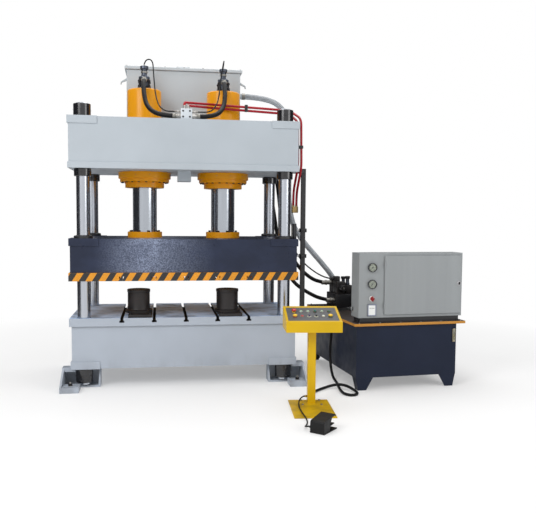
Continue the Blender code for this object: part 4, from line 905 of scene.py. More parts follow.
@dataclass(frozen=True)
class Pattern:
    """A Geometry Nodes tree that sets out one kind of item in a ring or in a row."""

    item: Item
    ring: bool
    SOCKETS = {"Count": "Int", "Radius": "Float", "Start": "Float", "Between": "Float", "Step": "Vector",
               "Size": "Vector", "Finish": "Material"}

    def tree(self) -> bpy.types.NodeTree:
        """The tree, built at its first use."""
        name = f"{'ring' if self.ring else 'row'} of {self.item.name.lower()}"
        return bpy.data.node_groups.get(name) or self.planted(name)

    def planted(self, name: str) -> bpy.types.NodeTree:
        """Builds the tree.

        Args:
            name: Its name.

        Returns:
            The tree.
        """
        tree = bpy.data.node_groups.new(name, "GeometryNodeTree")
        for label, kind in self.SOCKETS.items():
            tree.interface.new_socket(name=label, in_out="INPUT", socket_type=f"NodeSocket{kind}")
        tree.interface.new_socket(name="Geometry", in_out="OUTPUT", socket_type="NodeSocketGeometry")
        wiring = Wiring(tree)
        given = wiring.node("NodeGroupInput").outputs
        line = wiring.node("GeometryNodeMeshLine", {"Count": given["Count"]})
        spots = {"Points": line.outputs["Mesh"]}
        if self.ring:
            spots = self.ringed(wiring, given, line.outputs["Mesh"])
        else:
            wiring.link(given["Step"], line.inputs["Offset"])
        items = {**spots, "Instance": self.shape(wiring, given["Size"])}
        spread = wiring.node("GeometryNodeInstanceOnPoints", items)
        real = wiring.node("GeometryNodeRealizeInstances", {"Geometry": spread.outputs["Instances"]})
        clothes = {"Geometry": real.outputs["Geometry"], "Material": given["Finish"]}
        dress = wiring.node("GeometryNodeSetMaterial", clothes)
        wiring.node("NodeGroupOutput", {"Geometry": dress.outputs["Geometry"]})
        return tree

    def ringed(self, wiring: Wiring, given: Mapping[str, Socket], points: Socket) -> dict[str, Socket]:
        """Sets the points out round the axis.

        Args:
            wiring: The tree in the making.
            given: Its inputs.
            points: The points.

        Returns:
            The points in their ring, and how far each item is turned.
        """
        index = wiring.node("GeometryNodeInputIndex").outputs["Index"]
        sums = {0: index, 1: given["Between"], 2: given["Start"]}
        angle = wiring.node("ShaderNodeMath", sums, operation="MULTIPLY_ADD").outputs["Value"]
        x, y = (wiring.maths("MULTIPLY", wiring.maths(wave, angle), given["Radius"])
                for wave in ("COSINE", "SINE"))
        place = wiring.node("ShaderNodeCombineXYZ", {"X": x, "Y": y}).outputs["Vector"]
        spots = wiring.node("GeometryNodeSetPosition", {"Geometry": points, "Position": place})
        turn = wiring.node("ShaderNodeCombineXYZ", {"Z": angle}).outputs["Vector"]
        euler = wiring.node("FunctionNodeEulerToRotation", {"Euler": turn})
        return {"Points": spots.outputs["Geometry"], "Rotation": euler.outputs["Rotation"]}

    def shape(self, wiring: Wiring, size: Socket) -> Socket:
        """One item, its size along its own axes given by the tree's input.

        Args:
            wiring: The tree in the making.
            size: The size.

        Returns:
            The item's geometry.
        """
        if self.item is Item.BAR:
            return wiring.node("GeometryNodeMeshCube", {"Size": size}).outputs["Mesh"]
        sides, radius = (6, 0.5 / math.cos(math.pi / 6)) if self.item is Item.HEX else (20, 0.5)
        head = wiring.node("GeometryNodeMeshCylinder", {"Vertices": sides, "Radius": radius, "Depth": 1.0})
        turned = (0.0, math.pi / 2 if self.item is Item.DISC else 0.0, 0.0)
        faced = {"Geometry": head.outputs["Mesh"], "Rotation": turned}
        place = wiring.node("GeometryNodeTransform", faced)
        sized = {"Geometry": place.outputs["Geometry"], "Scale": size}
        return wiring.node("GeometryNodeTransform", sized).outputs["Geometry"]

    def onto(self, form: Form, finish: Finish, place: Matrix, count: int, size: Point, radius: float = 0.0,
             start: float = 0.0, between: float | None = None, step: Point = (0.0, 0.0, 0.0)) -> None:
        """Bakes the pattern and joins it to a piece.

        Args:
            form: The piece.
            finish: The items' finish.
            place: Where the pattern lies on the piece.
            count: How many items.
            size: One item's size along its own axes.
            radius: The ring's radius.
            start: The first item's angle.
            between: The angle from item to item, or a full ring's share.
            step: From item to item in a row.
        """
        holder = bpy.data.objects.new("pattern", bpy.data.meshes.new("pattern"))
        bpy.context.scene.collection.objects.link(holder)
        modifier = holder.modifiers.new("pattern", "NODES")
        modifier.node_group = self.tree()
        values = {"Count": count, "Radius": float(radius), "Start": float(start),
                  "Between": float(FULL_TURN / count if between is None else between),
                  "Step": tuple(float(v) for v in step), "Size": tuple(float(v) for v in size),
                  "Finish": finish.material()}
        for socket in modifier.node_group.interface.items_tree:
            if socket.in_out == "INPUT":
                modifier[socket.identifier] = values[socket.name]
        graph = bpy.context.evaluated_depsgraph_get()
        baked = bpy.data.meshes.new_from_object(holder.evaluated_get(graph))
        holder.modifiers.clear()
        bpy.data.objects.remove(holder)
        shape = bmesh.new()
        shape.from_mesh(baked)
        bpy.data.meshes.remove(baked)
        form.add(shape, finish, place)


HEX_RING, HEX_ROW = Pattern(Item.HEX, True), Pattern(Item.HEX, False)
SOCKET_RING, SOCKET_ROW = Pattern(Item.SOCKET, True), Pattern(Item.SOCKET, False)
BAR_RING, BAR_ROW = Pattern(Item.BAR, True), Pattern(Item.BAR, False)
DISC_RING = Pattern(Item.DISC, True)


def evenly(points: Sequence[Vector], count: int) -> list[Vector]:
    """The same path as this many points at equal distances along it.

    Args:
        points: The path.
        count: How many points are wanted.

    Returns:
        The points.
    """
    lengths = [(b - a).length for a, b in zip(points, points[1:])]
    step, kept, walked = sum(lengths) / (count - 1), [points[0]], 0.0
    for a, b, length in zip(points, points[1:], lengths):
        while len(kept) < count - 1 and walked + length >= len(kept) * step:
            kept.append(a.lerp(b, (len(kept) * step - walked) / length))
        walked += length
    return [*kept, points[-1]]


RING_REACH = 1.25
CURVE_STEPS = 20
RELAXED_POINTS = 241
RELAXINGS = 24


def ring_middles(node: str, start: Vector, radius: float) -> list[Vector]:
    """The middle of each ring of corners of a cord's solid, from one end to the other.

    Args:
        node: The cord's node.
        start: The middle of its first end.
        radius: The cord's radius.

    Returns:
        The middles.
    """
    shape = bmesh.new()
    shape.from_mesh(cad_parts[node].data)
    bmesh.ops.remove_doubles(shape, verts=shape.verts[:], dist=SAME_POINT)
    shape.verts.index_update()
    ring = {corner for corner in shape.verts if (corner.co - start).length < radius * RING_REACH}
    passed, middles = set(ring), []
    while ring:
        corners = sorted(ring, key=lambda corner: corner.index)
        middles.append(sum((corner.co for corner in corners), Vector()) / len(corners))
        ring = {edge.other_vert(corner) for corner in ring for edge in corner.link_edges} - passed
        passed |= ring
    shape.free()
    return middles


def smooth_route(points: Iterable[Point], spacing: float) -> list[Vector]:
    """Points this far apart on a smooth curve by way of a route's points, both end runs kept straight.

    Args:
        points: The route.
        spacing: Distance from point to point.

    Returns:
        The points.
    """
    route = [Vector(point) for point in points]
    dense = []
    for before, a, b, after in zip(route, route[1:], route[2:], route[3:]):
        bend = 2 * before - 5 * a + 4 * b - after
        for index in range(CURVE_STEPS):
            t = index / CURVE_STEPS
            dense.append((2 * a + (b - before) * t + bend * t * t
                          + (3 * a - before - 3 * b + after) * t ** 3) / 2)
    dense = evenly([*dense, route[-2]], RELAXED_POINTS)
    for _ in range(RELAXINGS):
        relaxed = [(a + 2 * b + c) / 4 for a, b, c in zip(dense, dense[1:], dense[2:])]
        dense = [dense[0], *relaxed, dense[-1]]
    length = sum((b - a).length for a, b in zip(dense, dense[1:]))
    return [route[0], *evenly(dense, max(6, round(length / spacing) + 1)), route[-1]]


BENDS_PER_RUN = 2.1


def rounded_pipe(points: Iterable[Point], bend: float, steps: int = 8) -> list[Vector]:
    """A rigid pipe's middle line: straight runs with round bends.

    Args:
        points: The corners.
        bend: How far from a corner its bend starts.
        steps: Points in each bend.

    Returns:
        The points.
    """
    route = [Vector(point) for point in points]
    path = [route[0]]
    for before, corner, after in zip(route, route[1:], route[2:]):
        into, out = corner - before, after - corner
        reach = min(bend, into.length / BENDS_PER_RUN, out.length / BENDS_PER_RUN)
        first, last = corner - into.normalized() * reach, corner + out.normalized() * reach
        for index in range(steps + 1):
            t = index / steps
            path.append(first * (1 - t) ** 2 + 2 * corner * t * (1 - t) + last * t * t)
    return [*path, route[-1]]


class Stiffness(Enum):
    """How easily a cord bends."""

    LIMP = "limp"
    MEDIUM = "medium"


class Lay(Enum):
    """How a cord lies."""

    LOOSE = "loose"
    HANGING = "hanging"


@dataclass(frozen=True)
class Cord:
    """A free hose or cable between two ports of the line, with a fitting at each end."""

    name: str
    diameter: float
    finish: Finish
    stiffness: Stiffness
    lay: Lay
    start: Point
    fitting: Finish
    sleeve: float = 1.5
    nut: float = 1.3
    spacing: float = 0.05

    def path(self) -> list[Vector]:
        """The points of its middle line, in the row frame, with its skin inside the line's own box."""
        route = smooth_route(ring_middles(self.name, PRESS @ Vector(self.start), self.diameter / 2),
                             self.spacing)
        room = self.diameter / 2 + 0.0003
        return [Vector([min(max(value, low + room), high - room)
                        for value, low, high in zip(point, *CAD_BOUNDS)]) for point in route]

    def end_fitting(self, index: int, start: Vector, inner: Vector) -> bpy.types.Object:
        """The crimped sleeve and nut at one end.

        Args:
            index: 0 at the first end, 1 at the second.
            start: The cord's end.
            inner: A point of the cord, which gives the direction.

        Returns:
            The fitting.
        """
        inward = (inner - start).normalized()
        radius = self.diameter / 2
        form = Form(f"{self.name}_fitting_{index + 1}", Matrix.Identity(4))
        long = self.sleeve * self.diameter
        profile = [(radius * 0.98, 0.0), (radius * 1.12, 0.0), (radius * 1.16, long * 0.05)]
        for groove in (0.35, 0.55, 0.75):
            profile += [(radius * 1.16, long * (groove - 0.04)), (radius * 1.09, long * (groove - 0.02)),
                        (radius * 1.09, long * (groove + 0.02)), (radius * 1.16, long * (groove + 0.04))]
        profile += [(radius * 1.14, long * 0.97), (radius * 1.06, long), (radius * 0.98, long)]
        form.turn(profile, self.fitting, aimed(start, start + inward), 40)
        if self.nut:
            form.hexagon(self.diameter * self.nut, start + inward * 0.001, start + inward * long * 0.3,
                         self.fitting)
        return form.build(Body.LINE)

    def build(self) -> None:
        path = self.path()
        form = Form(f"{self.name}_run", Matrix.Identity(4))
        form.tube(path, self.diameter / 2, self.finish, 28 if self.diameter > 0.03 else 18)
        run = form.build(Body.LINE, self.name)
        ends = [self.end_fitting(0, path[0], path[1]), self.end_fitting(1, path[-1], path[-2])]


@dataclass(frozen=True)
class CordSet:
    """All the free hoses and cables of the line, each along the middle of its solid."""

    def cords(self) -> list[Cord]:
        """The hoses on the crown, those to the power unit, and the cables on the floor."""
        limp, medium, hanging, loose = Stiffness.LIMP, Stiffness.MEDIUM, Lay.HANGING, Lay.LOOSE
        unit_gland = UNIT_IN_PRESS @ Vector((1.6397, -0.82, 0.79))
        return [
            Cord("fill_hose_left", 0.046, RUBBER, medium, hanging, (-0.414, -0.1043, 3.111), ZINC, 0.7,
                 spacing=0.03),
            Cord("fill_hose_right", 0.046, RUBBER, medium, hanging, (0.414, -0.1043, 3.111), ZINC, 0.7,
                 spacing=0.03),
            Cord("pilot_hose_left", 0.013, CABLE, limp, hanging, (-0.414, 0.0, 3.2606), ZINC, spacing=0.02),
            Cord("pilot_hose_right", 0.013, CABLE, limp, hanging, (0.414, 0.0, 3.2606), ZINC, spacing=0.02),
            Cord("suction_hose", 0.062, CLEAR_HOSE, medium, hanging, (0.6653, 0.45, 3.06), ZINC, 0.6, 0.0),
            Cord("pressure_hose_upper", 0.043, RUBBER, medium, hanging, (1.03, 0.6203, 2.40), ZINC,
                 spacing=0.04),
            Cord("pressure_hose_lower", 0.043, RUBBER, medium, hanging, (0.93, 0.6203, 2.30), ZINC,
                 spacing=0.04),
            Cord("signal_cable", 0.016, CABLE, limp, hanging, (0.99, 0.6153, 2.52), BLACK_PLASTIC,
                 spacing=0.035),
            Cord("trunk_conduit", 0.028, CONDUIT, limp, loose, unit_gland, BLACK_PLASTIC, 1.2, 1.35, 0.04),
            Cord("foot_switch_cable", 0.012, CABLE, limp, loose, (1.04491, -1.39517, 0.07), BLACK_PLASTIC,
                 1.2, 1.35, 0.02),
        ]

    def build(self) -> None:
        """Builds every cord."""
        for cord in self.cords():
            cord.build()
            LOG.info("%s is laid", cord.name)


@dataclass(frozen=True)
class Camera:
    """The photograph's viewpoint."""

    place: Point = (-0.267, -7.490, 1.691)
    turn: float = math.radians(-8.954)
    tilt: float = math.radians(3.948)
    roll: float = math.radians(0.462)
    lens: float = 46.56
    sensor: float = 36.0

    def build(self) -> None:
        """Sets up the scene's camera."""
        data = bpy.data.cameras.new("press_camera")
        data.lens, data.sensor_width, data.sensor_fit = self.lens, self.sensor, "HORIZONTAL"
        data.clip_start, data.clip_end = 0.05, 200.0
        camera = bpy.data.objects.new("press_camera", data)
        bpy.context.scene.collection.objects.link(camera)
        camera.matrix_world = (
            PRESS @ Matrix.Translation(self.place) @ Matrix.Rotation(self.turn, 4, "Z")
            @ Matrix.Rotation(math.pi / 2 - self.tilt, 4, "X") @ Matrix.Rotation(self.roll, 4, "Z")
        )
        bpy.context.scene.camera = camera


@dataclass(frozen=True)
class Studio:
    """Pale floor, white surroundings and soft lamps."""

    floor_size: float = 60.0
    floor_tone: float = 0.94
    floor_glow: float = 0.3
    ambient: float = 0.62
    fade_from: float = 3.2
    fade_to: float = 6.0

    def seen_white(self, wiring: Wiring) -> Socket:
        """Whether a ray is one that sees the white surroundings.

        Args:
            wiring: The node tree.

        Returns:
            1 for camera, glossy and transmission rays.
        """
        rays = wiring.node("ShaderNodeLightPath").outputs
        seen = rays["Is Camera Ray"]
        for name in ("Is Glossy Ray", "Is Transmission Ray"):
            seen = wiring.maths("MAXIMUM", seen, rays[name])
        return seen

    def surroundings(self) -> None:
        """Lights the scene from all sides, and shows white."""
        world = bpy.data.worlds.new("press_surroundings")
        world.use_nodes = True
        wiring = Wiring(world.node_tree)
        strength = wiring.spread(self.seen_white(wiring), (0.0, 1.0), (self.ambient, 1.0))
        background = wiring.tree.nodes["Background"]
        background.inputs["Color"].default_value = (1.0, 1.0, 1.0, 1.0)
        wiring.link(strength, background.inputs["Strength"])
        bpy.context.scene.world = world

    def sheet(self, corners: Sequence[Point], look: Shading) -> bpy.types.Object:
        """A flat board, named after its material.

        Args:
            corners: Its four corners.
            look: Its material.

        Returns:
            The board.
        """
        mesh = bpy.data.meshes.new(look.material.name)
        mesh.from_pydata(corners, [], [(0, 1, 2, 3)])
        mesh.materials.append(look.material)
        board = bpy.data.objects.new(look.material.name, mesh)
        bpy.context.scene.collection.objects.link(board)
        return board

    def floor(self) -> None:
        """Lays the floor: matt and pale near the press, white far away."""
        look = Shading("studio_floor")
        look.plain(Base_Color=(self.floor_tone,) * 3 + (1.0,), Roughness=0.8)
        reach = look.node("ShaderNodeVectorMath", {0: look.place}, operation="LENGTH")
        far = look.spread(reach.outputs["Value"], (self.fade_from, self.fade_to), (self.floor_glow, 1.0))
        white = look.node("ShaderNodeEmission")
        share = look.maths("MULTIPLY", far, self.seen_white(look))
        shaders = {"Fac": share, 1: look.shader.outputs["BSDF"], 2: white.outputs["Emission"]}
        blend = look.node("ShaderNodeMixShader", shaders)
        look.link(blend.outputs["Shader"], look.tree.nodes["Material Output"].inputs["Surface"])
        half = self.floor_size / 2
        floor = self.sheet([(-half, -half, 0), (half, -half, 0), (half, half, 0), (-half, half, 0)], look)

    def lamp(self, name: str, place: Point, aim: Point, size: Point, power: float) -> None:
        """Hangs a soft box.

        Args:
            name: Its name.
            place: Where it hangs, from the press's middle.
            aim: What it points at.
            size: Its width and height.
            power: Its power in watts.
        """
        data = bpy.data.lights.new(name, "AREA")
        data.shape, data.size, data.size_y, data.energy = "RECTANGLE", size[0], size[1], power
        lamp = bpy.data.objects.new(name, data)
        bpy.context.scene.collection.objects.link(lamp)
        lamp.matrix_world = PRESS @ Matrix.Translation(place) @ (
            Vector(aim) - Vector(place)).to_track_quat("-Z", "Y").to_matrix().to_4x4()

    def flag(self, name: str, place: Point, size: Point) -> None:
        """Stands a dark board beside the set, which only gloss shows.

        Args:
            name: Its name.
            place: Its middle, from the press's middle.
            size: Its width along X or Y, with 0 in the other, and its height.
        """
        x, y, z = PRESS @ Vector(place)
        half_x, half_y, half_z = (value / 2 for value in size)
        look = Shading(name)
        look.plain(Base_Color=(0.03, 0.03, 0.035, 1.0), Roughness=0.9)
        board = self.sheet([(x - half_x, y - half_y, z - half_z), (x + half_x, y + half_y, z - half_z),
                            (x + half_x, y + half_y, z + half_z), (x - half_x, y - half_y, z + half_z)],
                           look)
        board.visible_camera = False
        board.visible_diffuse = False
        board.visible_shadow = False

    def build(self) -> None:
        """Builds floor, surroundings, lamps and flags."""
        bpy.context.scene.view_settings.view_transform = "Standard"
        self.surroundings()
        self.floor()
        self.lamp("key_lamp", (-4.5, -6.0, 5.5), (0.4, 0.0, 1.3), (3.5, 3.5), 260.0)
        self.lamp("fill_lamp", (6.0, -5.0, 3.5), (1.0, 0.0, 1.0), (3.0, 3.0), 90.0)
        self.lamp("top_lamp", (0.5, 0.5, 6.5), (0.5, 0.0, 0.0), (5.0, 4.0), 160.0)
        self.flag("flag_left", (-3.8, 0.6, 2.3), (0.0, 7.2, 4.6))
        self.flag("flag_right", (5.4, 0.6, 2.3), (0.0, 7.2, 4.6))
        self.flag("flag_back", (0.8, 4.4, 2.3), (8.6, 0.0, 4.6))


@dataclass(frozen=True)
class PressFrame:
    """The bed on its feet, the slotted table, the four guide columns and the crown."""

    pitch: Pair = (2.0, 0.98)
    column_radius: float = 0.0625
    neck_radius: float = 0.0565
    column_low: float = 0.03
    column_top: float = 2.785
    nut_radius: float = 0.0825
    foot_nut: Pair = (0.05, 0.1867)
    crown_nut: Pair = (2.0797, 2.1547)
    top_nut: Pair = (2.6553, 2.7753)
    anchor: Point = (1.117, 0.68, 0.055)
    table_half: Pair = (1.135, 0.5815)
    table_top: float = 0.692

    def corners(self) -> list[Pair]:
        """The four columns' places, in the order of their nodes."""
        half_x, half_y = self.pitch[0] / 2, self.pitch[1] / 2
        return [(-half_x, -half_y), (half_x, -half_y), (-half_x, half_y), (half_x, half_y)]

    def bed(self) -> None:
        """The bed with its welded feet and anchor bolts."""
        form = Form("bed_painted")
        form.softened("bed", BED_GREY, 0.0035)
        x, y, z = self.anchor
        for side_x in (-1, 1):
            for side_y in (-1, 1):
                spot = (side_x * x, side_y * y)
                form.rod(0.022, (*spot, z), (*spot, z + 0.004), ZINC)
                form.hexagon(0.034, (*spot, z + 0.004), (*spot, z + 0.024), BLACK_OXIDE)
                form.rod(0.0105, (*spot, z + 0.024), (*spot, z + 0.038), ZINC)
        form.build(Body.LINE, "bed")

    def table(self) -> None:
        """The slotted table plate."""
        form = Form("table_plate")
        form.softened("bolster_plate", TABLE_STEEL, 0.0018)
        half_x, half_y = (value - 0.001 for value in self.table_half)
        # Faces below the table top, chiefly the slots' walls and floors, get near-black: partly oil, partly
        # painted shade in the slots.
        form.repaint(SLOT_OIL_AND_SHADE, lambda middle, normal: middle.z < self.table_top - 0.001)
        form.repaint(BED_GREY, lambda middle, normal: normal.z < 0.5 and (abs(middle.x) > half_x
                                                                         or abs(middle.y) > half_y))
        form.build(Body.LINE, "bolster_plate")

    def nut(self, form: Form, low: float, high: float, thread: bool) -> None:
        """A round nut with four spanner holes.

        Args:
            form: The column in the making.
            low: The nut's lower face.
            high: Its upper face.
            thread: Whether the column's thread shows above it.
        """
        radius, edge = self.nut_radius, 0.004
        form.turn([(0.03, low), (radius - edge, low), (radius, low + edge), (radius, high - edge),
                   (radius - edge, high), (0.03, high)], NUT_BLACK, steps=72)
        middle = (low + high) / 2
        DISC_RING.onto(form, BLACK_OXIDE, shift(0, 0, middle), 6, (0.018, 0.018, 0.0012), radius, 0.4)
        if thread:
            pitch, crests = 0.0018, []
            height, top = high, self.column_top - 0.003
            while height + pitch < top:
                crests += [(self.neck_radius - 0.0009, height), (self.neck_radius, height + pitch / 2)]
                height += pitch
            form.turn([(0.0, high - 0.001), *crests, (self.neck_radius - 0.003, self.column_top),
                       (0.0, self.column_top)], CHROME, steps=72)

    def column(self, name: str, place: Pair, ringed: bool) -> None:
        """One guide column with its nuts.

        Args:
            name: The column's node.
            place: Where it stands.
            ringed: Whether it shows the stroke's witness line.
        """
        form = Form(f"{name}_turned", PRESS @ shift(*place, 0))
        radius = self.column_radius
        profile = [(0.0, self.column_low), (radius - 0.003, self.column_low),
                   (radius, self.column_low + 0.003)]
        if ringed:
            profile += [(radius, 1.958), (radius - 0.0008, 1.959), (radius - 0.0008, 1.963),
                        (radius, 1.964)]
        profile += [(radius, self.top_nut[1] - 0.02), (0.0, self.top_nut[1] - 0.02)]
        form.turn(profile, CHROME, steps=96)
        self.nut(form, *self.foot_nut, thread=False)
        self.nut(form, *self.crown_nut, thread=False)
        self.nut(form, *self.top_nut, thread=True)
        form.build(Body.LINE, name)

    def crown(self) -> None:
        """The crown with its pads, ports and lifting plugs."""
        form = Form("crown_painted")
        form.softened("crown", PALE_GREY, 0.0035)
        for x, z, radius in ((1.03, 2.40, 0.028), (0.93, 2.30, 0.028), (0.99, 2.52, 0.014)):
            form.hexagon(radius * 2.3, (x, 0.59, z), (x, 0.606, z), ZINC)
        for x in (-0.82, 0.82):
            for y in (-0.30, 0.05):
                form.rod(0.017, (x, y, 2.6508), (x, y, 2.658), BLACK_OXIDE, 0.002, 24)
        form.build(Body.LINE, "crown")

    def build(self) -> None:
        """Builds the frame's pieces."""
        self.bed()
        self.table()
        for index, (name, place) in enumerate(zip(COLUMN_NODES, self.corners())):
            self.column(name, place, index == 1)
        self.crown()


@dataclass(frozen=True)
class MainCylinders:
    """The two orange cylinders with their stepped flange rings, and the prefill valves on them."""

    radius: float = 0.175
    top: float = 3.01
    flange: float = 0.272
    flange_z: Pair = (2.088, 2.1547)
    step_radius: float = 0.255
    step_low: float = 2.052
    gland_radius: float = 0.2025
    gland_low: float = 1.993
    bore_top: float = 2.87
    port: Point = (0.0, -0.104, 0.101)

    def cylinder(self, name: str, x: float) -> None:
        """One cylinder, open below.

        Args:
            name: Its node.
            x: Where it stands.
        """
        form = Form(f"{name}_painted", PRESS @ shift(x, 0, 0))
        low, high = self.flange_z
        profile = [(0.0, self.top), (self.radius - 0.016, self.top),
                   (self.radius - 0.010, self.top - 0.0015), (self.radius - 0.0015, self.top - 0.010),
                   (self.radius, self.top - 0.016), (self.radius, high), (self.flange - 0.003, high),
                   (self.flange, high - 0.003), (self.flange, low + 0.003), (self.flange - 0.003, low),
                   (self.step_radius, low), (self.step_radius, self.step_low + 0.004),
                   (self.step_radius - 0.004, self.step_low), (self.gland_radius, self.step_low),
                   (self.gland_radius, self.gland_low + 0.004), (self.gland_radius - 0.004, self.gland_low),
                   (0.1262, self.gland_low), (0.1262, 2.10), (0.145, 2.12), (0.145, self.bore_top),
                   (0.0, self.bore_top)]
        form.turn(profile, ORANGE, steps=96)
        SOCKET_RING.onto(form, BLACK_OXIDE, shift(0, 0, self.step_low - 0.004), 20, (0.022, 0.022, 0.010),
                         0.238, 0.08)
        DISC_RING.onto(form, ZINC, shift(0, 0, (low + high) / 2), 12, (0.016, 0.016, 0.0024), self.flange,
                       0.2)
        form.turn([(0.1262, self.gland_low - 0.0008), (0.140, self.gland_low - 0.0008),
                   (0.140, self.gland_low + 0.002), (0.1262, self.gland_low + 0.002)], BLACK_PAINT)
        form.build(Body.LINE, name)

    def fill_valve(self, name: str, x: float) -> None:
        """The prefill valve on a cylinder: square foot with studs, waisted body and side port.

        Args:
            name: Its node.
            x: Where it stands.
        """
        form = Form(f"{name}_machined", PRESS @ shift(x, 0, self.top + 0.0003))
        form.block((-0.068, -0.068, 0.0), (0.068, 0.068, 0.028), BLACK_OXIDE, 0.004)
        form.turn([(0.0, 0.25), (0.0395, 0.25), (0.0425, 0.247), (0.0425, 0.222), (0.034, 0.216),
                   (0.0285, 0.195), (0.028, 0.175), (0.031, 0.155), (0.036, 0.142), (0.055, 0.139),
                   (0.058, 0.136), (0.058, 0.112), (0.055, 0.109), (0.045, 0.105), (0.045, 0.02),
                   (0.0, 0.02)], VALVE_STEEL, steps=56)
        form.hexagon(0.060, (0, 0, 0.176), (0, 0, 0.198), ZINC)
        for stud_x in (-0.05, 0.05):
            for stud_y in (-0.05, 0.05):
                form.rod(0.009, (stud_x, stud_y, 0.02), (stud_x, stud_y, 0.104), BLACK_OXIDE, 0.001, 20)
                form.hexagon(0.027, (stud_x, stud_y, 0.028), (stud_x, stud_y, 0.046), BLACK_OXIDE)
                form.hexagon(0.027, (stud_x, stud_y, 0.080), (stud_x, stud_y, 0.098), BLACK_OXIDE)
        form.rod(0.0228, (0, -0.02, 0.1316), self.port, VALVE_STEEL)
        mouth, inward = Vector(self.port), (Vector((0, -0.02, 0.1316)) - Vector(self.port)).normalized()
        form.hexagon(0.044, mouth + inward * 0.010, mouth + inward * 0.030, VALVE_STEEL)
        form.build(Body.LINE, name)

    def build(self) -> None:
        """Builds both cylinders and both valves."""
        for side, x in zip(("left", "right"), CYLINDER_X):
            self.cylinder(f"cylinder_{side}", x)
            self.fill_valve(f"fill_valve_{side}", x)


@dataclass(frozen=True)
class HeaderTank:
    """The sheet tank on the crown with its lid and filler."""

    x: Pair = (-0.605, 0.62)
    y: Pair = (0.20, 0.60)
    lid_top: float = 3.30
    cap_top: float = 3.335

    def build(self) -> None:
        """Builds tank and lid."""
        form = Form("header_tank_sheet")
        form.softened("header_tank", TANK_GREY, 0.003)
        form.turn([(0.0325, 0.0), (0.046, 0.0), (0.046, 0.010), (0.0325, 0.010)], TANK_GREY,
                  aimed((self.x[1], 0.45, 3.06), (self.x[1] + 1, 0.45, 3.06)))
        form.build(Body.LINE, "header_tank")
        lid = Form("header_tank_cover")
        lid.softened("header_tank_lid", TANK_GREY, 0.003)
        wide = (self.x[1] - self.x[0]) / 6
        for y in (self.y[0], self.y[1]):
            HEX_ROW.onto(lid, ZINC, shift(self.x[0], y, self.lid_top + 0.0035), 7, (0.013, 0.013, 0.007),
                         step=(wide, 0, 0))
        for x in (-0.055, 0.055):
            HEX_ROW.onto(lid, ZINC, shift(x, 0.32, self.cap_top - 0.0005), 2, (0.012, 0.012, 0.006),
                         step=(0, 0.11, 0))
        lid.build(Body.LINE, "header_tank_lid")


@dataclass(frozen=True)
class CrownPlumbing:
    """The manifold at the crown's front edge and the pair of red pipes from it."""

    x: Pair = (-0.052, 0.058)
    y: Pair = (-0.572, -0.492)
    z: Pair = (2.6513, 2.752)
    port_y: float = -0.532
    port_z: float = 2.680
    thin: Pair = (-0.515, 2.728)
    pipe: float = 0.0125
    front: tuple[Point, ...] = (
        (-0.016, -0.532, 2.7703), (-0.016, -0.532, 2.815), (0.30, -0.22, 2.852), (1.09, -0.22, 2.816),
        (1.18, -0.42, 2.71), (1.18, -0.455, 2.21), (1.178, -0.235, 1.96), (1.178, -0.22, 1.80))
    rear: tuple[Point, ...] = (
        (0.021, -0.532, 2.7703), (0.021, -0.532, 2.785), (0.30, -0.215, 2.818), (1.09, -0.205, 2.782),
        (1.152, -0.395, 2.68), (1.152, -0.43, 2.23), (1.15, -0.205, 1.98), (1.15, -0.19, 1.80))

    def manifold(self) -> None:
        """The block with its ports and plugs."""
        form = Form("manifold_machined")
        form.block((self.x[0], self.y[0], self.z[0]), (self.x[1], self.y[1], self.z[1]), MANIFOLD_GREY,
                   0.003)
        y, z = self.port_y, self.port_z
        for side, wall in ((-1, self.x[0]), (1, self.x[1])):
            form.rod(0.019, (wall - side * 0.01, y, z), (wall + side * 0.045, y, z), PORT_STEEL)
            form.hexagon(0.045, (wall + side * 0.008, y, z), (wall + side * 0.034, y, z), PORT_STEEL)
            thin_y, thin_z = self.thin
            form.rod(0.008, (wall - side * 0.01, thin_y, thin_z), (wall + side * 0.04, thin_y, thin_z),
                     PORT_STEEL)
            form.hexagon(0.016, (wall + side * 0.006, thin_y, thin_z),
                         (wall + side * 0.018, thin_y, thin_z), ZINC)
        for x in (self.front[0][0], self.rear[0][0]):
            form.rod(0.0125, (x, y, self.z[1] - 0.012), (x, y, 2.77), PORT_STEEL)
            form.hexagon(0.024, (x, y, self.z[1]), (x, y, self.z[1] + 0.013), PORT_STEEL)
        for x, height in ((-0.030, 2.672), (0.036, 2.672), (-0.030, 2.728), (0.036, 2.728)):
            form.rod(0.009, (x, self.y[0] - 0.004, height), (x, self.y[0] + 0.01, height), BLACK_OXIDE,
                     0.001, 20)
            form.hexagon(0.008, (x, self.y[0] - 0.005, height), (x, self.y[0] + 0.001, height), BLACK_PAINT)
        form.build(Body.LINE, "crown_manifold")

    def pipes(self) -> None:
        """The two pipes with their nuts, clips and end block."""
        form = Form("red_pipe_pair")
        for route in (self.front, self.rear):
            form.tube(rounded_pipe(route, 0.07), self.pipe, RED_PIPE, 20)
            start, end = Vector(route[0]), Vector(route[-1])
            form.hexagon(0.027, start, start + Vector((0, 0, 0.017)), PORT_STEEL)
            form.rod(0.0142, end, end + Vector((0, 0, 0.03)), PIPE_END, 0.001, 24)
        form.block((0.62, -0.24, 2.79), (0.65, -0.195, 2.86), BLACK_PLASTIC, 0.003)
        form.block((1.137, -0.47, 2.40), (1.196, -0.415, 2.43), BLACK_PLASTIC, 0.003)
        form.block((1.135, -0.24, 1.745), (1.195, -0.17, 1.81), PIPE_END, 0.003)
        form.build(Body.LINE, "pressure_pipes")

    def build(self) -> None:
        """Builds the manifold and the pipes."""
        self.manifold()
        self.pipes()


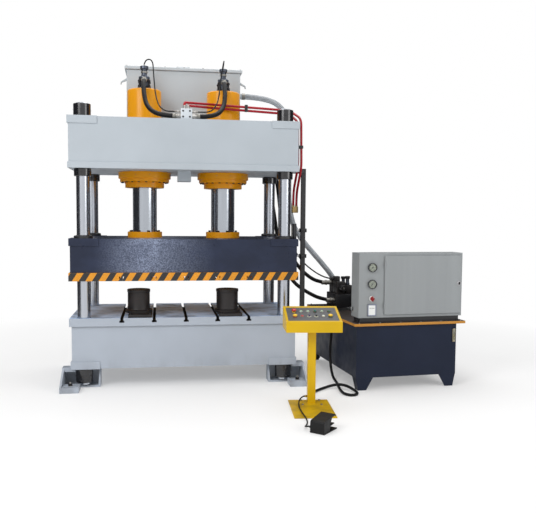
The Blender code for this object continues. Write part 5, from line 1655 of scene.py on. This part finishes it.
@dataclass(frozen=True)
class LimitRail:
    """The square rail beside the slide and its two position sensors."""

    x: float = 1.235
    y: float = -0.30
    heights: Pair = (1.56, 1.29)

    def sensor(self, name: str, z: float) -> None:
        """One sensor on its clamp.

        Args:
            name: Its node.
            z: Its height.
        """
        form = Form(f"{name}_moulded", PRESS @ shift(self.x, self.y, z))
        inner, outer, half = 0.0234, 0.035, 0.02
        for low_x, high_x, low_y, high_y in ((-outer, -inner, -outer, outer), (inner, outer, -outer, outer),
                                             (-outer, outer, -outer, -inner), (-outer, outer, inner, outer)):
            form.block((low_x, low_y, -half), (high_x, high_y, half), SENSOR_BLACK, 0.0018)
        form.rod(0.009, (-0.025, 0, 0), (-0.06, 0, 0), LOCK_STEEL, 0.001, 28)
        form.hexagon(0.022, (-0.036, 0, 0), (-0.042, 0, 0), LOCK_STEEL)
        form.rod(0.0078, (-0.0575, 0, 0), (-0.0602, 0, 0), COVER_ORANGE, 0.001, 24)
        form.rod(0.007, (0, -0.033, 0), (0, -0.038, 0), LOCK_STEEL, 0.001, 20)
        form.hexagon(0.011, (0, -0.038, 0), (0, -0.045, 0), BLACK_OXIDE)
        form.build(Body.LINE, name)

    def build(self) -> None:
        """Builds rail and sensors."""
        form = Form("limit_rail_painted")
        form.softened("limit_rail", BLACK_PAINT, 0.0022)
        for z in (0.66, 2.1725):
            HEX_ROW.onto(form, ZINC, shift(1.185, self.y - 0.018, z + 0.0185), 2, (0.012, 0.012, 0.007),
                         step=(0, 0.036, 0))
        form.build(Body.LINE, "limit_rail")
        for name, z in zip(("limit_sensor_upper", "limit_sensor_lower"), self.heights):
            self.sensor(name, z)


@dataclass(frozen=True)
class PunchBlocks:
    """The two cast die blocks on the table, each on its clamping plate."""

    places: tuple[Pair, ...] = ((-0.472, -0.33), (0.43, -0.36))
    plate_front: float = -0.5715
    table_top: float = 0.6923

    def build(self) -> None:
        """Builds both blocks."""
        for side, (x, y) in zip(("left", "right"), self.places):
            form = Form(f"die_block_{side}", PRESS @ shift(x, y, self.table_top))
            form.block((-0.098, self.plate_front - y, 0.0), (0.135, 0.18, 0.030), CAST, 0.003)
            form.turn([(0.0, 0.259), (0.099, 0.259), (0.1015, 0.262), (0.1135, 0.262), (0.1155, 0.2600),
                       (0.1155, 0.2375), (0.1145, 0.2345), (0.111, 0.232), (0.111, 0.066), (0.114, 0.059),
                       (0.132, 0.0535), (0.135, 0.051), (0.135, 0.0285), (0.0, 0.0285)], CAST, steps=96)
            SOCKET_RING.onto(form, BLACK_OXIDE, shift(0, 0, 0.058), 6, (0.013, 0.013, 0.010), 0.1235, 0.3)
            for bolt_y in (self.plate_front - y + 0.022, 0.155):
                HEX_ROW.onto(form, BLACK_OXIDE, shift(-0.075, bolt_y, 0.037), 2, (0.026, 0.026, 0.014),
                             step=(0.19, 0, 0))
            form.build(Body.LINE, f"punch_block_{side}")


@dataclass(frozen=True)
class Slide:
    """The moving beam, its striped tool plate, the plungers and the striker."""

    half: Pair = (1.12, 0.575)
    plate_half: Pair = (1.135, 0.59)
    plate_low: float = 1.059
    slot_pitch: float = 0.315
    tape: float = 0.0425
    top: float = 1.472
    wiper_top: float = 1.500
    wiper_radius: float = 0.09
    plunger: float = 0.125
    foot_radius: float = 0.18
    piston: float = 0.1444
    piston_z: Pair = (2.27, 2.40)

    def beam(self) -> None:
        """The beam with its black wiper collars."""
        form = Form("slide_beam_painted")
        form.softened("slide_beam", SLATE, 0.0035)
        for x in (-1.0, 1.0):
            for y in (-0.49, 0.49):
                place = shift(x, y, 0)
                outer, low, high = self.wiper_radius + 0.0012, self.top + 0.004, self.wiper_top + 0.001
                form.turn([(0.0634, low), (outer, low), (outer, high - 0.005), (outer - 0.005, high),
                           (0.074, high), (0.068, high + 0.006), (0.0634, high + 0.006)], BLACK_PAINT,
                          place, 72)
                SOCKET_RING.onto(form, ZINC, place @ shift(0, 0, high + 0.001), 6, (0.010, 0.010, 0.004),
                                 0.0805, 0.5)
        form.build(Body.SLIDE, "slide_beam")

    def plate(self) -> None:
        """The slotted plate under the beam, striped at its front."""
        front = PRESS_MIDDLE.y - self.plate_half[1]
        paint = HazardPaint("slide_plate_stripes", Slot.SLIDE_ORANGE, tint(222, 146, 16), tint(30, 28, 28),
                            front)
        form = Form("slide_plate_striped")
        form.softened("slide_plate", paint, 0.0018)
        for index in range(-2, 3):
            middle = index * self.slot_pitch
            form.block((middle - 0.0137, 0.0002 - self.plate_half[1], self.plate_low + 0.0004),
                       (middle + 0.0137, 0.0010 - self.plate_half[1], self.plate_low + self.tape), paint,
                       0.0)
        form.build(Body.SLIDE, "slide_plate")

    def plunger_piece(self, name: str, x: float) -> None:
        """One plunger with its foot flange and piston.

        Args:
            name: Its node.
            x: Where it stands.
        """
        form = Form(f"{name}_turned", PRESS @ shift(x, 0, 0))
        foot, flange_top = self.top + 0.0003, self.top + 0.0603
        low, high = self.piston_z
        form.turn([(0.0, high), (self.piston - 0.004, high), (self.piston, high - 0.004),
                   (self.piston, low), (self.plunger, low), (self.plunger, flange_top - 0.02),
                   (0.0, flange_top - 0.02)], PLUNGER_CHROME, steps=96)
        form.turn([(0.0, flange_top - 0.004), (0.1262, flange_top - 0.004), (0.1262, flange_top),
                   (self.foot_radius - 0.004, flange_top), (self.foot_radius, flange_top - 0.004),
                   (self.foot_radius, foot), (0.0, foot)], ORANGE, steps=96)
        SOCKET_RING.onto(form, BLACK_OXIDE, shift(0, 0, flange_top + 0.008), 8, (0.024, 0.024, 0.016),
                         0.153, 0.3)
        form.build(Body.SLIDE, name)

    def striker(self) -> None:
        """The post that the sensors see."""
        form = Form("striker_machined", PRESS @ shift(1.115, -0.45, 1.4763))
        form.block((-0.011, -0.035, 0.0), (0.017, 0.20, 0.012), BLACK_PAINT, 0.002)
        form.rod(0.022, (0, 0, 0.010), (0, 0, 0.155), BLACK_PAINT, 0.003)
        form.rod(0.006, (0.004, 0.17, 0.006), (0.004, 0.17, 0.13), ZINC, 0.002, 20)
        form.hexagon(0.012, (0.004, 0.17, 0.012), (0.004, 0.17, 0.020), ZINC)
        form.build(Body.SLIDE, "slide_striker")

    def build(self) -> None:
        """Builds what moves with the slide."""
        self.beam()
        self.plate()
        for side, x in zip(("left", "right"), CYLINDER_X):
            self.plunger_piece(f"plunger_{side}", x)
        self.striker()


@dataclass(frozen=True)
class PowerUnit:
    """The oil tank with its cover, and the motor, pump and valves on it."""

    front: float = -1.0
    cover_top: float = 0.667
    neck: Pair = (1.99, 0.495)
    breather: Pair = (2.55, 0.40)
    motor_axis: Pair = (2.33, 0.8573)
    valve_base: Point = (1.82, 0.106, 0.6673)
    port_upper: Point = (-0.03, 0.25, 0.275)
    port_lower: Point = (-0.03, 0.08, 0.09)
    port_signal: Point = (-0.005, 0.16, 0.33)

    def tank(self) -> None:
        """The tank on its splayed legs."""
        form = Form("oil_tank_painted", UNIT)
        form.softened("oil_tank", NAVY, 0.003)
        form.build(Body.LINE, "oil_tank")

    def cover(self) -> None:
        """The cover plate with the suction neck and the breather."""
        form = Form("tank_cover_painted", UNIT)
        form.block((1.61, -1.03, 0.6403), (2.7997, 0.55, self.cover_top), COVER_ORANGE, 0.003)
        # The cover's top faces get the dark brown of painted shade.
        form.repaint(COVER_TOP_SHADE, lambda middle, normal: normal.z > 0.9)
        x, y = self.neck
        form.rod(0.032, (x, y, self.cover_top - 0.01), (x, y, 0.80), ZINC, 0.002)
        form.turn([(0.031, 0.0), (0.058, 0.0), (0.058, 0.012), (0.056, 0.014), (0.031, 0.014)], BLACK_PAINT,
                  shift(x, y, self.cover_top))
        HEX_RING.onto(form, ZINC, shift(x, y, self.cover_top + 0.018), 4, (0.013, 0.013, 0.008), 0.046, 0.4)
        x, y = self.breather
        form.turn([(0.0, 0.085), (0.030, 0.085), (0.035, 0.082), (0.036, 0.078), (0.036, 0.022),
                   (0.033, 0.018), (0.028, 0.015), (0.028, -0.005), (0.0, -0.005)], BLACK_PLASTIC,
                  shift(x, y, self.cover_top), 48)
        BAR_RING.onto(form, BLACK_PLASTIC, shift(x, y, self.cover_top + 0.05), 18, (0.0012, 0.004, 0.044),
                      0.0362)
        for edge_y in (-1.015, 0.535):
            HEX_ROW.onto(form, ZINC, shift(1.66, edge_y, self.cover_top + 0.0035), 6, (0.013, 0.013, 0.007),
                         step=(0.218, 0, 0))
        form.build(Body.LINE, "tank_cover")

    def level_gauge(self) -> None:
        """The oil level glass in its brass frame, with its two nuts and the oil showing in it."""
        x, front, low, high = 2.685, self.front - 0.0003, 0.454, 0.588
        form = Form("oil_level_glass", UNIT)
        form.block((x - 0.016, front - 0.010, low), (x + 0.016, front, high), BRASS, 0.002)
        for low_x, high_x in ((x - 0.016, x - 0.010), (x + 0.010, x + 0.016)):
            form.block((low_x, front - 0.014, low), (high_x, front - 0.006, high), BRASS, 0.0015)
        for low_z, high_z in ((low, low + 0.018), (high - 0.018, high)):
            form.block((x - 0.016, front - 0.014, low_z), (x + 0.016, front - 0.006, high_z), BRASS, 0.0015)
            middle = (low_z + high_z) / 2
            form.hexagon(0.012, (x, front - 0.010, middle), (x, front - 0.0142, middle), BRASS)
        form.block((x - 0.0095, front - 0.0108, low + 0.018), (x + 0.0095, front - 0.009, low + 0.074), OIL,
                   0.0)
        form.block((x - 0.0098, front - 0.0118, low + 0.018), (x + 0.0098, front - 0.0109, high - 0.018),
                   WINDOW, 0.0)
        form.build(Body.LINE, "level_gauge")

    def motor(self) -> None:
        """The finned motor with its cowl, feet and terminal box."""
        x, z = self.motor_axis
        form = Form("motor_cast", UNIT @ shift(x, 0, z))
        back = Matrix.Rotation(math.radians(-90), 4, "X")
        form.turn([(0.0, -0.60), (0.128, -0.60), (0.142, -0.595), (0.146, -0.585), (0.146, -0.485),
                   (0.130, -0.482), (0.130, -0.168), (0.150, -0.163), (0.150, -0.138), (0.146, -0.135),
                   (0.105, -0.133), (0.100, -0.128), (0.100, -0.100), (0.0, -0.100)], MOTOR_SLATE, back, 72)
        BAR_RING.onto(form, MOTOR_SLATE, back @ shift(0, 0, -0.325), 36, (0.018, 0.0035, 0.31), 0.137)
        for radius, count in ((0.035, 8), (0.065, 16), (0.095, 22)):
            BAR_RING.onto(form, BLACK_PAINT, back @ shift(0, 0, -0.6002), count, (0.020, 0.007, 0.0012),
                          radius)
        form.block((-0.09, -0.40, 0.12), (0.09, -0.26, 0.186), MOTOR_SLATE, 0.006)
        form.block((-0.084, -0.395, 0.184), (0.084, -0.265, 0.19), MOTOR_SLATE, 0.002)
        for bolt_x in (-0.075, 0.075):
            SOCKET_ROW.onto(form, ZINC, shift(bolt_x, -0.384, 0.1905), 2, (0.009, 0.009, 0.002),
                            step=(0, 0.108, 0))
        for low_y, high_y in ((-0.48, -0.42), (-0.24, -0.18)):
            form.block((-0.15, low_y, -0.19), (0.15, high_y, -0.172), MOTOR_SLATE, 0.003)
            form.block((-0.09, low_y, -0.18), (0.09, high_y, -0.10), MOTOR_SLATE, 0.004)
            for bolt_x in (-0.125, 0.125):
                middle = (low_y + high_y) / 2
                form.hexagon(0.019, (bolt_x, middle, -0.172), (bolt_x, middle, -0.160), ZINC)
        form.build(Body.LINE, "pump_motor")

    def pump(self) -> None:
        """The pump on its bell housing."""
        x, z = self.motor_axis
        form = Form("pump_cast", UNIT @ shift(x, -0.0997, z))
        back = Matrix.Rotation(math.radians(-90), 4, "X")
        form.turn([(0.0, 0.30), (0.048, 0.30), (0.056, 0.296), (0.058, 0.290), (0.058, 0.172),
                   (0.062, 0.165), (0.075, 0.158), (0.075, 0.127), (0.080, 0.122), (0.100, 0.114),
                   (0.100, 0.026), (0.104, 0.021), (0.147, 0.018), (0.150, 0.015), (0.150, 0.0),
                   (0.0, 0.0)], CAST, back, 64)
        HEX_RING.onto(form, ZINC, back @ shift(0, 0, 0.023), 8, (0.018, 0.018, 0.010), 0.126)
        form.rod(0.026, (0, 0.225, 0.04), (0, 0.225, 0.12), CAST)
        form.hexagon(0.048, (0, 0.225, 0.085), (0, 0.225, 0.115), ZINC)
        form.rod(0.022, (0.04, 0.25, 0), (0.115, 0.25, 0), CAST)
        form.hexagon(0.040, (0.08, 0.25, 0), (0.11, 0.25, 0), ZINC)
        form.block((-0.05, 0.06, -0.19), (0.05, 0.10, -0.08), CAST, 0.004)
        form.build(Body.LINE, "hydraulic_pump")

    def valves(self) -> None:
        """The valve block with its solenoid valves and regulators."""
        form = Form("valve_stack", UNIT @ Matrix.Translation(self.valve_base))
        form.block((0, 0, 0), (0.22, 0.34, 0.16), BLACK_PAINT, 0.004)
        bodies = (((0.015, 0.02, 0.14), (0.115, 0.12, 0.30)), ((0.02, 0.20, 0.14), (0.11, 0.31, 0.335)),
                  ((0.13, 0.03, 0.14), (0.205, 0.30, 0.26)), ((0.02, 0.13, 0.15), (0.09, 0.19, 0.355)))
        for low, high in bodies:
            form.block(low, high, CAST, 0.006)
        for radius, y_from, y_to in ((0.034, 0.03, -0.075), (0.030, 0.30, 0.36)):
            outward = math.copysign(1, y_to - y_from)
            form.rod(radius, (0.065, y_from, 0.235), (0.065, y_to - outward * 0.002, 0.235), BLACK_PLASTIC,
                     0.004)
            form.rod(radius * 0.4, (0.065, y_to - outward * 0.004, 0.235), (0.065, y_to, 0.235), ZINC,
                     0.001, 24)
        for y, top in ((0.09, 0.36), (0.23, 0.345)):
            form.rod(0.020, (0.165, y, 0.24), (0.165, y, top), VALVE_STEEL, 0.002)
            form.hexagon(0.046, (0.165, y, 0.262), (0.165, y, 0.284), VALVE_STEEL)
            form.rod(0.028, (0.165, y, top - 0.03), (0.165, y, top), BLACK_PLASTIC, 0.003)
            BAR_RING.onto(form, BLACK_PLASTIC, shift(0.165, y, top - 0.015), 16, (0.0016, 0.004, 0.022),
                          0.0278)
        for mouth in (self.port_lower, self.port_upper):
            start = Vector(mouth)
            form.rod(0.0235, start, start + Vector((0.06, 0, 0)), ZINC)
            form.hexagon(0.048, start + Vector((0.012, 0, 0)), start + Vector((0.029, 0, 0)), ZINC)
        start = Vector(self.port_signal)
        form.rod(0.0128, start, start + Vector((0.035, 0, 0)), BLACK_PLASTIC, 0.001, 24)
        form.build(Body.LINE, "valve_block")

    def build(self) -> None:
        """Builds the power unit, apart from its cabinet."""
        self.tank()
        self.cover()
        self.level_gauge()
        self.motor()
        self.pump()
        self.valves()


@dataclass(frozen=True)
class Cabinet:
    """The electrical cabinet: sheet shell, gauges, meter, switch, door and lock."""

    x: Pair = (1.664, 2.775)
    front: float = -0.98
    low: float = 0.715
    dial_x: float = 1.80
    dial_z: Pair = (1.212, 1.047)
    dial_radius: float = 0.045
    switch_z: float = 0.906
    hinge: Pair = (1.93, -0.9963)
    door_z: Pair = (0.745, 1.326)
    lock: Point = (2.735, -0.9883, 1.046)

    def dial(self, form: Form, z: float) -> None:
        """A gauge: dark rim, white face with ticks, and glass.

        Args:
            form: The cabinet in the making.
            z: The gauge's height.
        """
        facing = aimed((self.dial_x, self.front, z), (self.dial_x, self.front - 1, z))
        radius = self.dial_radius
        form.turn([(radius - 0.0082, -0.004), (radius + 0.0006, -0.004), (radius + 0.0006, 0.019),
                   (radius - 0.0015, 0.0226), (radius - 0.006, 0.0226), (radius - 0.0082, 0.019)],
                  NUT_BLACK, facing, 72)
        form.turn([(0.0, 0.0102), (radius - 0.0057, 0.0102), (radius - 0.0057, 0.0112), (0.0, 0.0112)],
                  DIAL_CREAM, facing, 72)
        sweep, start = math.radians(270), math.radians(-45)
        tick_place = facing @ shift(0, 0, 0.01135)
        for count, long, wide, reach in ((51, 0.0035, 0.0005, 0.0345), (11, 0.0065, 0.0011, 0.033)):
            BAR_RING.onto(form, BLACK_PLASTIC, tick_place, count, (long, wide, 0.0002), reach, start,
                          sweep / (count - 1))
        form.turn([(0.0, 0.0182), (radius - 0.0056, 0.0182), (radius - 0.0056, 0.0192), (0.0, 0.0192)],
                  WINDOW, facing, 72)

    def shell(self) -> None:
        """The shell with its gauge strip."""
        form = Form("cabinet_sheet", UNIT)
        form.softened("cabinet", CABINET_GREY, 0.003)
        # Faces below the shell's floor get black paint, partly standing in as painted shade for the gap
        # under the cabinet.
        form.repaint(BLACK_PAINT, lambda middle, normal: middle.z < self.low - 0.0005)
        for z in self.dial_z:
            self.dial(form, z)
        x, front = self.dial_x, self.front
        frame_in = (0.036, 0.745, 0.841)
        form.block((x - 0.045, front - 0.0128, 0.841), (x + 0.045, front, 0.850), METER_FRAME, 0.001)
        form.block((x - 0.045, front - 0.0128, 0.735), (x + 0.045, front, 0.745), METER_FRAME, 0.001)
        form.block((x - 0.045, front - 0.0128, 0.735), (x - frame_in[0], front, 0.850), METER_FRAME, 0.001)
        form.block((x + frame_in[0], front - 0.0128, 0.735), (x + 0.045, front, 0.850), METER_FRAME, 0.001)
        form.block((x - 0.0355, front - 0.0096, frame_in[1]), (x + 0.0355, front - 0.0088, frame_in[2]),
                   DIAL_WHITE, 0.0)
        form.block((x - 0.028, front - 0.0104, 0.790), (x + 0.028, front - 0.0094, 0.832), DIAL_WHITE, 0.0)
        BAR_ROW.onto(form, BLACK_PLASTIC, shift(x - 0.024, front - 0.0106, 0.811), 9,
                     (0.0016, 0.0006, 0.012), step=(0.006, 0, 0))
        form.rod(0.027, (x, front, self.switch_z), (x, front - 0.0066, self.switch_z), DIAL_WHITE, 0.001,
                 48)
        form.rod(0.0165, (self.x[0] + 0.002, -0.82, 0.79), (self.x[0] - 0.0235, -0.82, 0.79), BLACK_PLASTIC,
                 0.001)
        form.hexagon(0.036, (self.x[0], -0.82, 0.79), (self.x[0] - 0.010, -0.82, 0.79), BLACK_PLASTIC)
        BAR_ROW.onto(form, BLACK_PAINT, shift(self.x[1] + 0.0001, -0.84, 0.86), 12, (0.0012, 0.10, 0.008),
                     step=(0, 0, 0.018))
        form.build(Body.LINE, "cabinet")

    def door(self) -> None:
        """The door with its hinge knuckles and folded rim."""
        form = Form("cabinet_door_sheet", UNIT)
        form.softened("cabinet_door", CABINET_GREY, 0.002)
        x, y = self.hinge
        low, high = self.door_z
        for z in (low + 0.09, high - 0.09):
            for offset in (-0.0155, 0.0155):
                form.rod(0.0079, (x, y, z + offset - 0.0138), (x, y, z + offset + 0.0138), CABINET_GREY,
                         0.0015, 24)
        lock_x, _, lock_z = self.lock
        form.turn([(0.0102, 0.0), (0.0245, 0.0), (0.0245, 0.0012), (0.0235, 0.002), (0.0102, 0.002)],
                  LOCK_STEEL, aimed((lock_x, y, lock_z), (lock_x, y - 1, lock_z)), 48)
        form.build(Body.DOOR, "cabinet_door")

    def lock_piece(self) -> None:
        """The turning lock."""
        form = Form("door_lock_turned", UNIT @ Matrix.Translation(self.lock))
        form.rod(0.0093, (0, 0.012, 0), (0, -0.010, 0), LOCK_STEEL, 0.001)
        form.rod(0.016, (0, -0.0101, 0), (0, -0.013, 0), LOCK_STEEL, 0.001, 48)
        form.block((-0.005, -0.026, -0.014), (0.005, -0.011, 0.014), BLACK_PLASTIC, 0.002)
        form.block((-0.008, 0.0105, -0.030), (0.008, 0.0145, 0.008), ZINC, 0.001)
        form.build(Body.LOCK, "door_lock")

    def needles(self) -> None:
        """The needles of the two gauges."""
        for name, body, z in (("gauge_needle_upper", Body.NEEDLE_UPPER, self.dial_z[0]),
                              ("gauge_needle_lower", Body.NEEDLE_LOWER, self.dial_z[1])):
            place = (UNIT @ shift(self.dial_x, self.front - 0.0113, z)
                     @ Matrix.Rotation(math.radians(-135), 4, "Y"))
            form = Form(f"{name}_stamped", place)
            form.rod(0.0048, (0, 0, 0), (0, -0.0058, 0), BLACK_PLASTIC, 0.001, 24)
            form.prism([(-0.0018, -0.0115), (0.0018, -0.0115), (0.0006, 0.0355), (-0.0006, 0.0355)], "Y",
                       -0.0038, -0.0027, BLACK_PLASTIC)
            form.build(body, name)

    def switch(self) -> None:
        """The red rotary switch."""
        place = UNIT @ shift(self.dial_x, self.front - 0.0015, self.switch_z)
        form = Form("main_switch_moulded", place @ Matrix.Rotation(math.radians(90), 4, "X"))
        form.turn([(0.0, 0.024), (0.018, 0.024), (0.0205, 0.0225), (0.021, 0.020), (0.021, 0.0082),
                   (0.0125, 0.0078), (0.0125, -0.0028), (0.0, -0.0028)], SWITCH_RED, steps=56)
        BAR_RING.onto(form, SWITCH_RED, shift(0, 0, 0.0145), 20, (0.001, 0.0024, 0.010), 0.0208)
        form.block((-0.006, -0.026, 0.015), (0.006, 0.026, 0.034), SWITCH_RED, 0.0035, segments=4)
        form.block((-0.0012, 0.008, 0.0337), (0.0012, 0.022, 0.0341), IVORY_PLASTIC, 0.0)
        form.build(Body.MAIN_SWITCH, "main_switch")

    def build(self) -> None:
        """Builds the cabinet."""
        self.shell()
        self.door()
        self.lock_piece()
        self.needles()
        self.switch()


class Head(Enum):
    """The kinds of device on the operator's panel."""

    BUTTON = "button"
    PALM = "palm button"
    MUSHROOM = "mushroom button"
    SELECTOR = "selector"
    LAMP = "lamp"


@dataclass(frozen=True)
class Device:
    """One device on the operator's panel."""

    node: str
    column: int
    row: int
    head: Head
    finish: Finish
    base: Finish
    body: Body = Body.LINE

    def spot(self, pitch: float, rows: Pair) -> Pair:
        """Its place on the panel.

        Args:
            pitch: Distance from column to column.
            rows: The near and far row's places.

        Returns:
            The place.
        """
        return (self.column - 2.5) * pitch, rows[self.row]


DEVICES = (
    Device("emergency_stop", 0, 1, Head.MUSHROOM, RED_PLASTIC, YELLOW_PLASTIC, Body.EMERGENCY_STOP),
    Device("power_lamp", 1, 1, Head.LAMP, LAMP_LENS, LOCK_STEEL),
    Device("pump_lamp", 2, 1, Head.LAMP, LAMP_LENS, LOCK_STEEL),
    Device("mode_selector", 3, 1, Head.SELECTOR, TEAL_PLASTIC, BLACK_PLASTIC, Body.MODE),
    Device("cycle_lamp", 4, 1, Head.LAMP, LAMP_LENS, LOCK_STEEL),
    Device("start_button", 5, 1, Head.BUTTON, GREEN_PLASTIC, BLACK_PLASTIC, Body.START),
    Device("palm_button_left", 0, 0, Head.PALM, YELLOW_PLASTIC, RED_PLASTIC, Body.PALM_LEFT),
    Device("stop_button", 1, 0, Head.BUTTON, RED_PLASTIC, LOCK_STEEL, Body.STOP),
    Device("stroke_selector", 2, 0, Head.SELECTOR, VIOLET_PLASTIC, IVORY_PLASTIC, Body.STROKE),
    Device("hold_selector", 3, 0, Head.SELECTOR, BLACK_PLASTIC, IVORY_PLASTIC, Body.HOLD),
    Device("jog_button", 4, 0, Head.BUTTON, IVORY_PLASTIC, LOCK_STEEL, Body.JOG),
    Device("palm_button_right", 5, 0, Head.PALM, YELLOW_PLASTIC, GREEN_PLASTIC, Body.PALM_RIGHT),
)


@dataclass(frozen=True)
class OperatorStand:
    """The yellow stand: floor plate, post and sloping box with its devices."""

    at: Pair = (1.10, -1.40)
    turn: float = math.radians(-5)
    half_x: float = 0.25
    half_y: float = 0.18
    low: float = 0.68
    near_top: float = 0.775
    far_top: float = 0.87
    pitch: float = 0.064
    rows: Pair = (-0.055, 0.055)
    collar: float = 0.0175

    @property
    def place(self) -> Matrix:
        """Where the stand is, in the row frame."""
        return PRESS @ shift(*self.at, 0) @ Matrix.Rotation(self.turn, 4, "Z")

    @property
    def panel(self) -> Matrix:
        """Where the panel is, in the row frame."""
        slope = math.atan2(self.far_top - self.near_top, 2 * self.half_y)
        middle = (self.near_top + self.far_top) / 2
        return self.place @ shift(0, 0, middle) @ Matrix.Rotation(slope, 4, "X")

    def pedestal(self) -> None:
        """The post on its floor plate."""
        form = Form("pedestal_painted", self.place)
        form.softened("pedestal", YELLOW, 0.0025)
        for x in (-0.085, 0.085):
            form.hexagon(0.019, (x, 0.065, 0.012), (x, 0.065, 0.022), ZINC)
            form.hexagon(0.019, (x, -0.085, 0.012), (x, -0.085, 0.022), ZINC)
        form.prism([(-0.052, -0.045), (0.052, -0.045), (0.058, -0.039), (0.058, 0.039), (0.052, 0.045),
                    (-0.052, 0.045), (-0.058, 0.039), (-0.058, -0.039)], "Z", 0.670, 0.6798, YELLOW, 0.001)
        form.hexagon(0.038, (0.0, 0.041, 0.075), (0.0, 0.054, 0.075), BLACK_PLASTIC)
        form.hexagon(0.021, (-0.041, 0.0, 0.07), (-0.049, 0.0, 0.07), BLACK_PLASTIC)
        form.build(Body.LINE, "pedestal")

    def box(self) -> None:
        """The sloping box with its recessed grey panel, collars and lamps."""
        form = Form("control_box_painted", self.panel)
        form.softened("control_box", YELLOW, 0.003)
        form.block((-self.half_x + 0.0224, -0.1546, -0.001), (self.half_x - 0.0224, 0.1546, 0.0009),
                   PANEL_GREY, 0.0003, segments=1)
        for device in DEVICES:
            x, y = device.spot(self.pitch, self.rows)
            place = shift(x, y, 0)
            inner = 0.0126 if device.head is Head.LAMP else 0.0130
            form.turn([(inner, 0.0005), (self.collar, 0.0005), (self.collar, 0.0045),
                       (self.collar - 0.0018, 0.0064), (inner, 0.0064)], device.base, place, 48)
            if device.head is Head.LAMP:
                form.turn([(0.0, 0.016), (0.004, 0.0156), (0.008, 0.0145), (0.011, 0.0122),
                           (0.0125, 0.0095), (0.0125, 0.001), (0.0, 0.001)], device.finish, place, 40)
        for x in (-self.half_x + 0.030, self.half_x - 0.030):
            SOCKET_ROW.onto(form, ZINC, shift(x, -0.14, 0.0016), 3, (0.006, 0.006, 0.0016),
                            step=(0, 0.14, 0))
        form.build(Body.LINE, "control_box")

    def device(self, device: Device) -> None:
        """A device that moves.

        Args:
            device: The device.
        """
        x, y = device.spot(self.pitch, self.rows)
        form = Form(f"{device.node}_moulded", self.panel @ shift(x, y, 0))
        shank = [(0.0123, -0.0113), (0.0, -0.0113)]
        if device.head is Head.BUTTON:
            form.turn([(0.0, 0.0108), (0.0088, 0.0109), (0.0100, 0.0115), (0.0112, 0.0113),
                       (0.0122, 0.0100), *shank], device.finish, steps=40)
        elif device.head is Head.SELECTOR:
            form.turn([(0.0, 0.0105), (0.0112, 0.0105), (0.0123, 0.0094), *shank], device.finish, steps=40)
            form.block((-0.0045, -0.0135, 0.0075), (0.0045, 0.0135, 0.0215), device.finish, 0.0018,
                       segments=3)
            form.block((-0.0008, 0.003, 0.0212), (0.0008, 0.0125, 0.0217), DIAL_WHITE, 0.0)
        elif device.head is Head.PALM:
            form.turn([(0.0, 0.024), (0.006, 0.0238), (0.012, 0.0228), (0.017, 0.0208), (0.0198, 0.0180),
                       (0.0205, 0.0158), (0.0205, 0.0135), (0.0195, 0.0125), (0.0123, 0.0125), *shank],
                      device.finish, steps=48)
        else:
            form.turn([(0.0, 0.031), (0.007, 0.0307), (0.013, 0.0295), (0.0185, 0.0268), (0.0212, 0.0232),
                       (0.0215, 0.0205), (0.0205, 0.0130), (0.0200, 0.0125), (0.0123, 0.0125), *shank],
                      device.finish, steps=48)
            BAR_RING.onto(form, device.finish, shift(0, 0, 0.018), 24, (0.0008, 0.0022, 0.007), 0.0212)
        form.build(device.body, device.node)

    def build(self) -> None:
        """Builds the stand."""
        self.pedestal()
        self.box()
        for device in DEVICES:
            if device.head is not Head.LAMP:
                self.device(device)


@dataclass(frozen=True)
class FootSwitch:
    """The guarded foot switch with its ribbed treadle."""

    at: Pair = (1.026, -2.20)
    turn: float = math.radians(48)
    hinge: Point = (-0.022, 0.0, 0.036)

    @property
    def place(self) -> Matrix:
        """Where the foot switch is, in the row frame."""
        return PRESS @ shift(*self.at, 0) @ Matrix.Rotation(self.turn, 4, "Z")

    def build(self) -> None:
        """Builds housing and treadle."""
        form = Form("foot_switch_cast", self.place)
        form.softened("foot_switch", FOOT_BLACK, 0.002)
        form.hexagon(0.021, (-0.07, 0.063, 0.035), (-0.07, 0.073, 0.035), BLACK_PLASTIC)
        SOCKET_ROW.onto(form, ZINC, shift(0.09, -0.054, 0.0108), 2, (0.009, 0.009, 0.002),
                        step=(0, 0.108, 0))
        form.build(Body.LINE, "foot_switch")
        treadle = Form("treadle_cast", self.place @ Matrix.Translation(self.hinge))
        treadle.softened("foot_treadle", FOOT_BLACK, 0.001)
        rise = (0.017 - 0.003) / 0.108
        BAR_ROW.onto(treadle, FOOT_BLACK, shift(0.025, 0, 0.003 + 0.025 * rise + 0.0004), 9,
                     (0.0035, 0.088, 0.0016), step=(0.009, 0, 0.009 * rise))
        treadle.build(Body.TREADLE, "foot_treadle")


def main() -> None:
    """Builds the whole press line in order."""
    logging.basicConfig(level=logging.INFO, format="%(name)s: %(message)s")
    Camera().build()
    CordSet().build()
    for assembly in (PressFrame, MainCylinders, HeaderTank, CrownPlumbing, LimitRail, PunchBlocks, Slide,
                     PowerUnit, Cabinet, OperatorStand, FootSwitch, Studio):
        assembly().build()
        LOG.info("%s done", assembly.__name__)


if __name__ == "__main__":
    main()
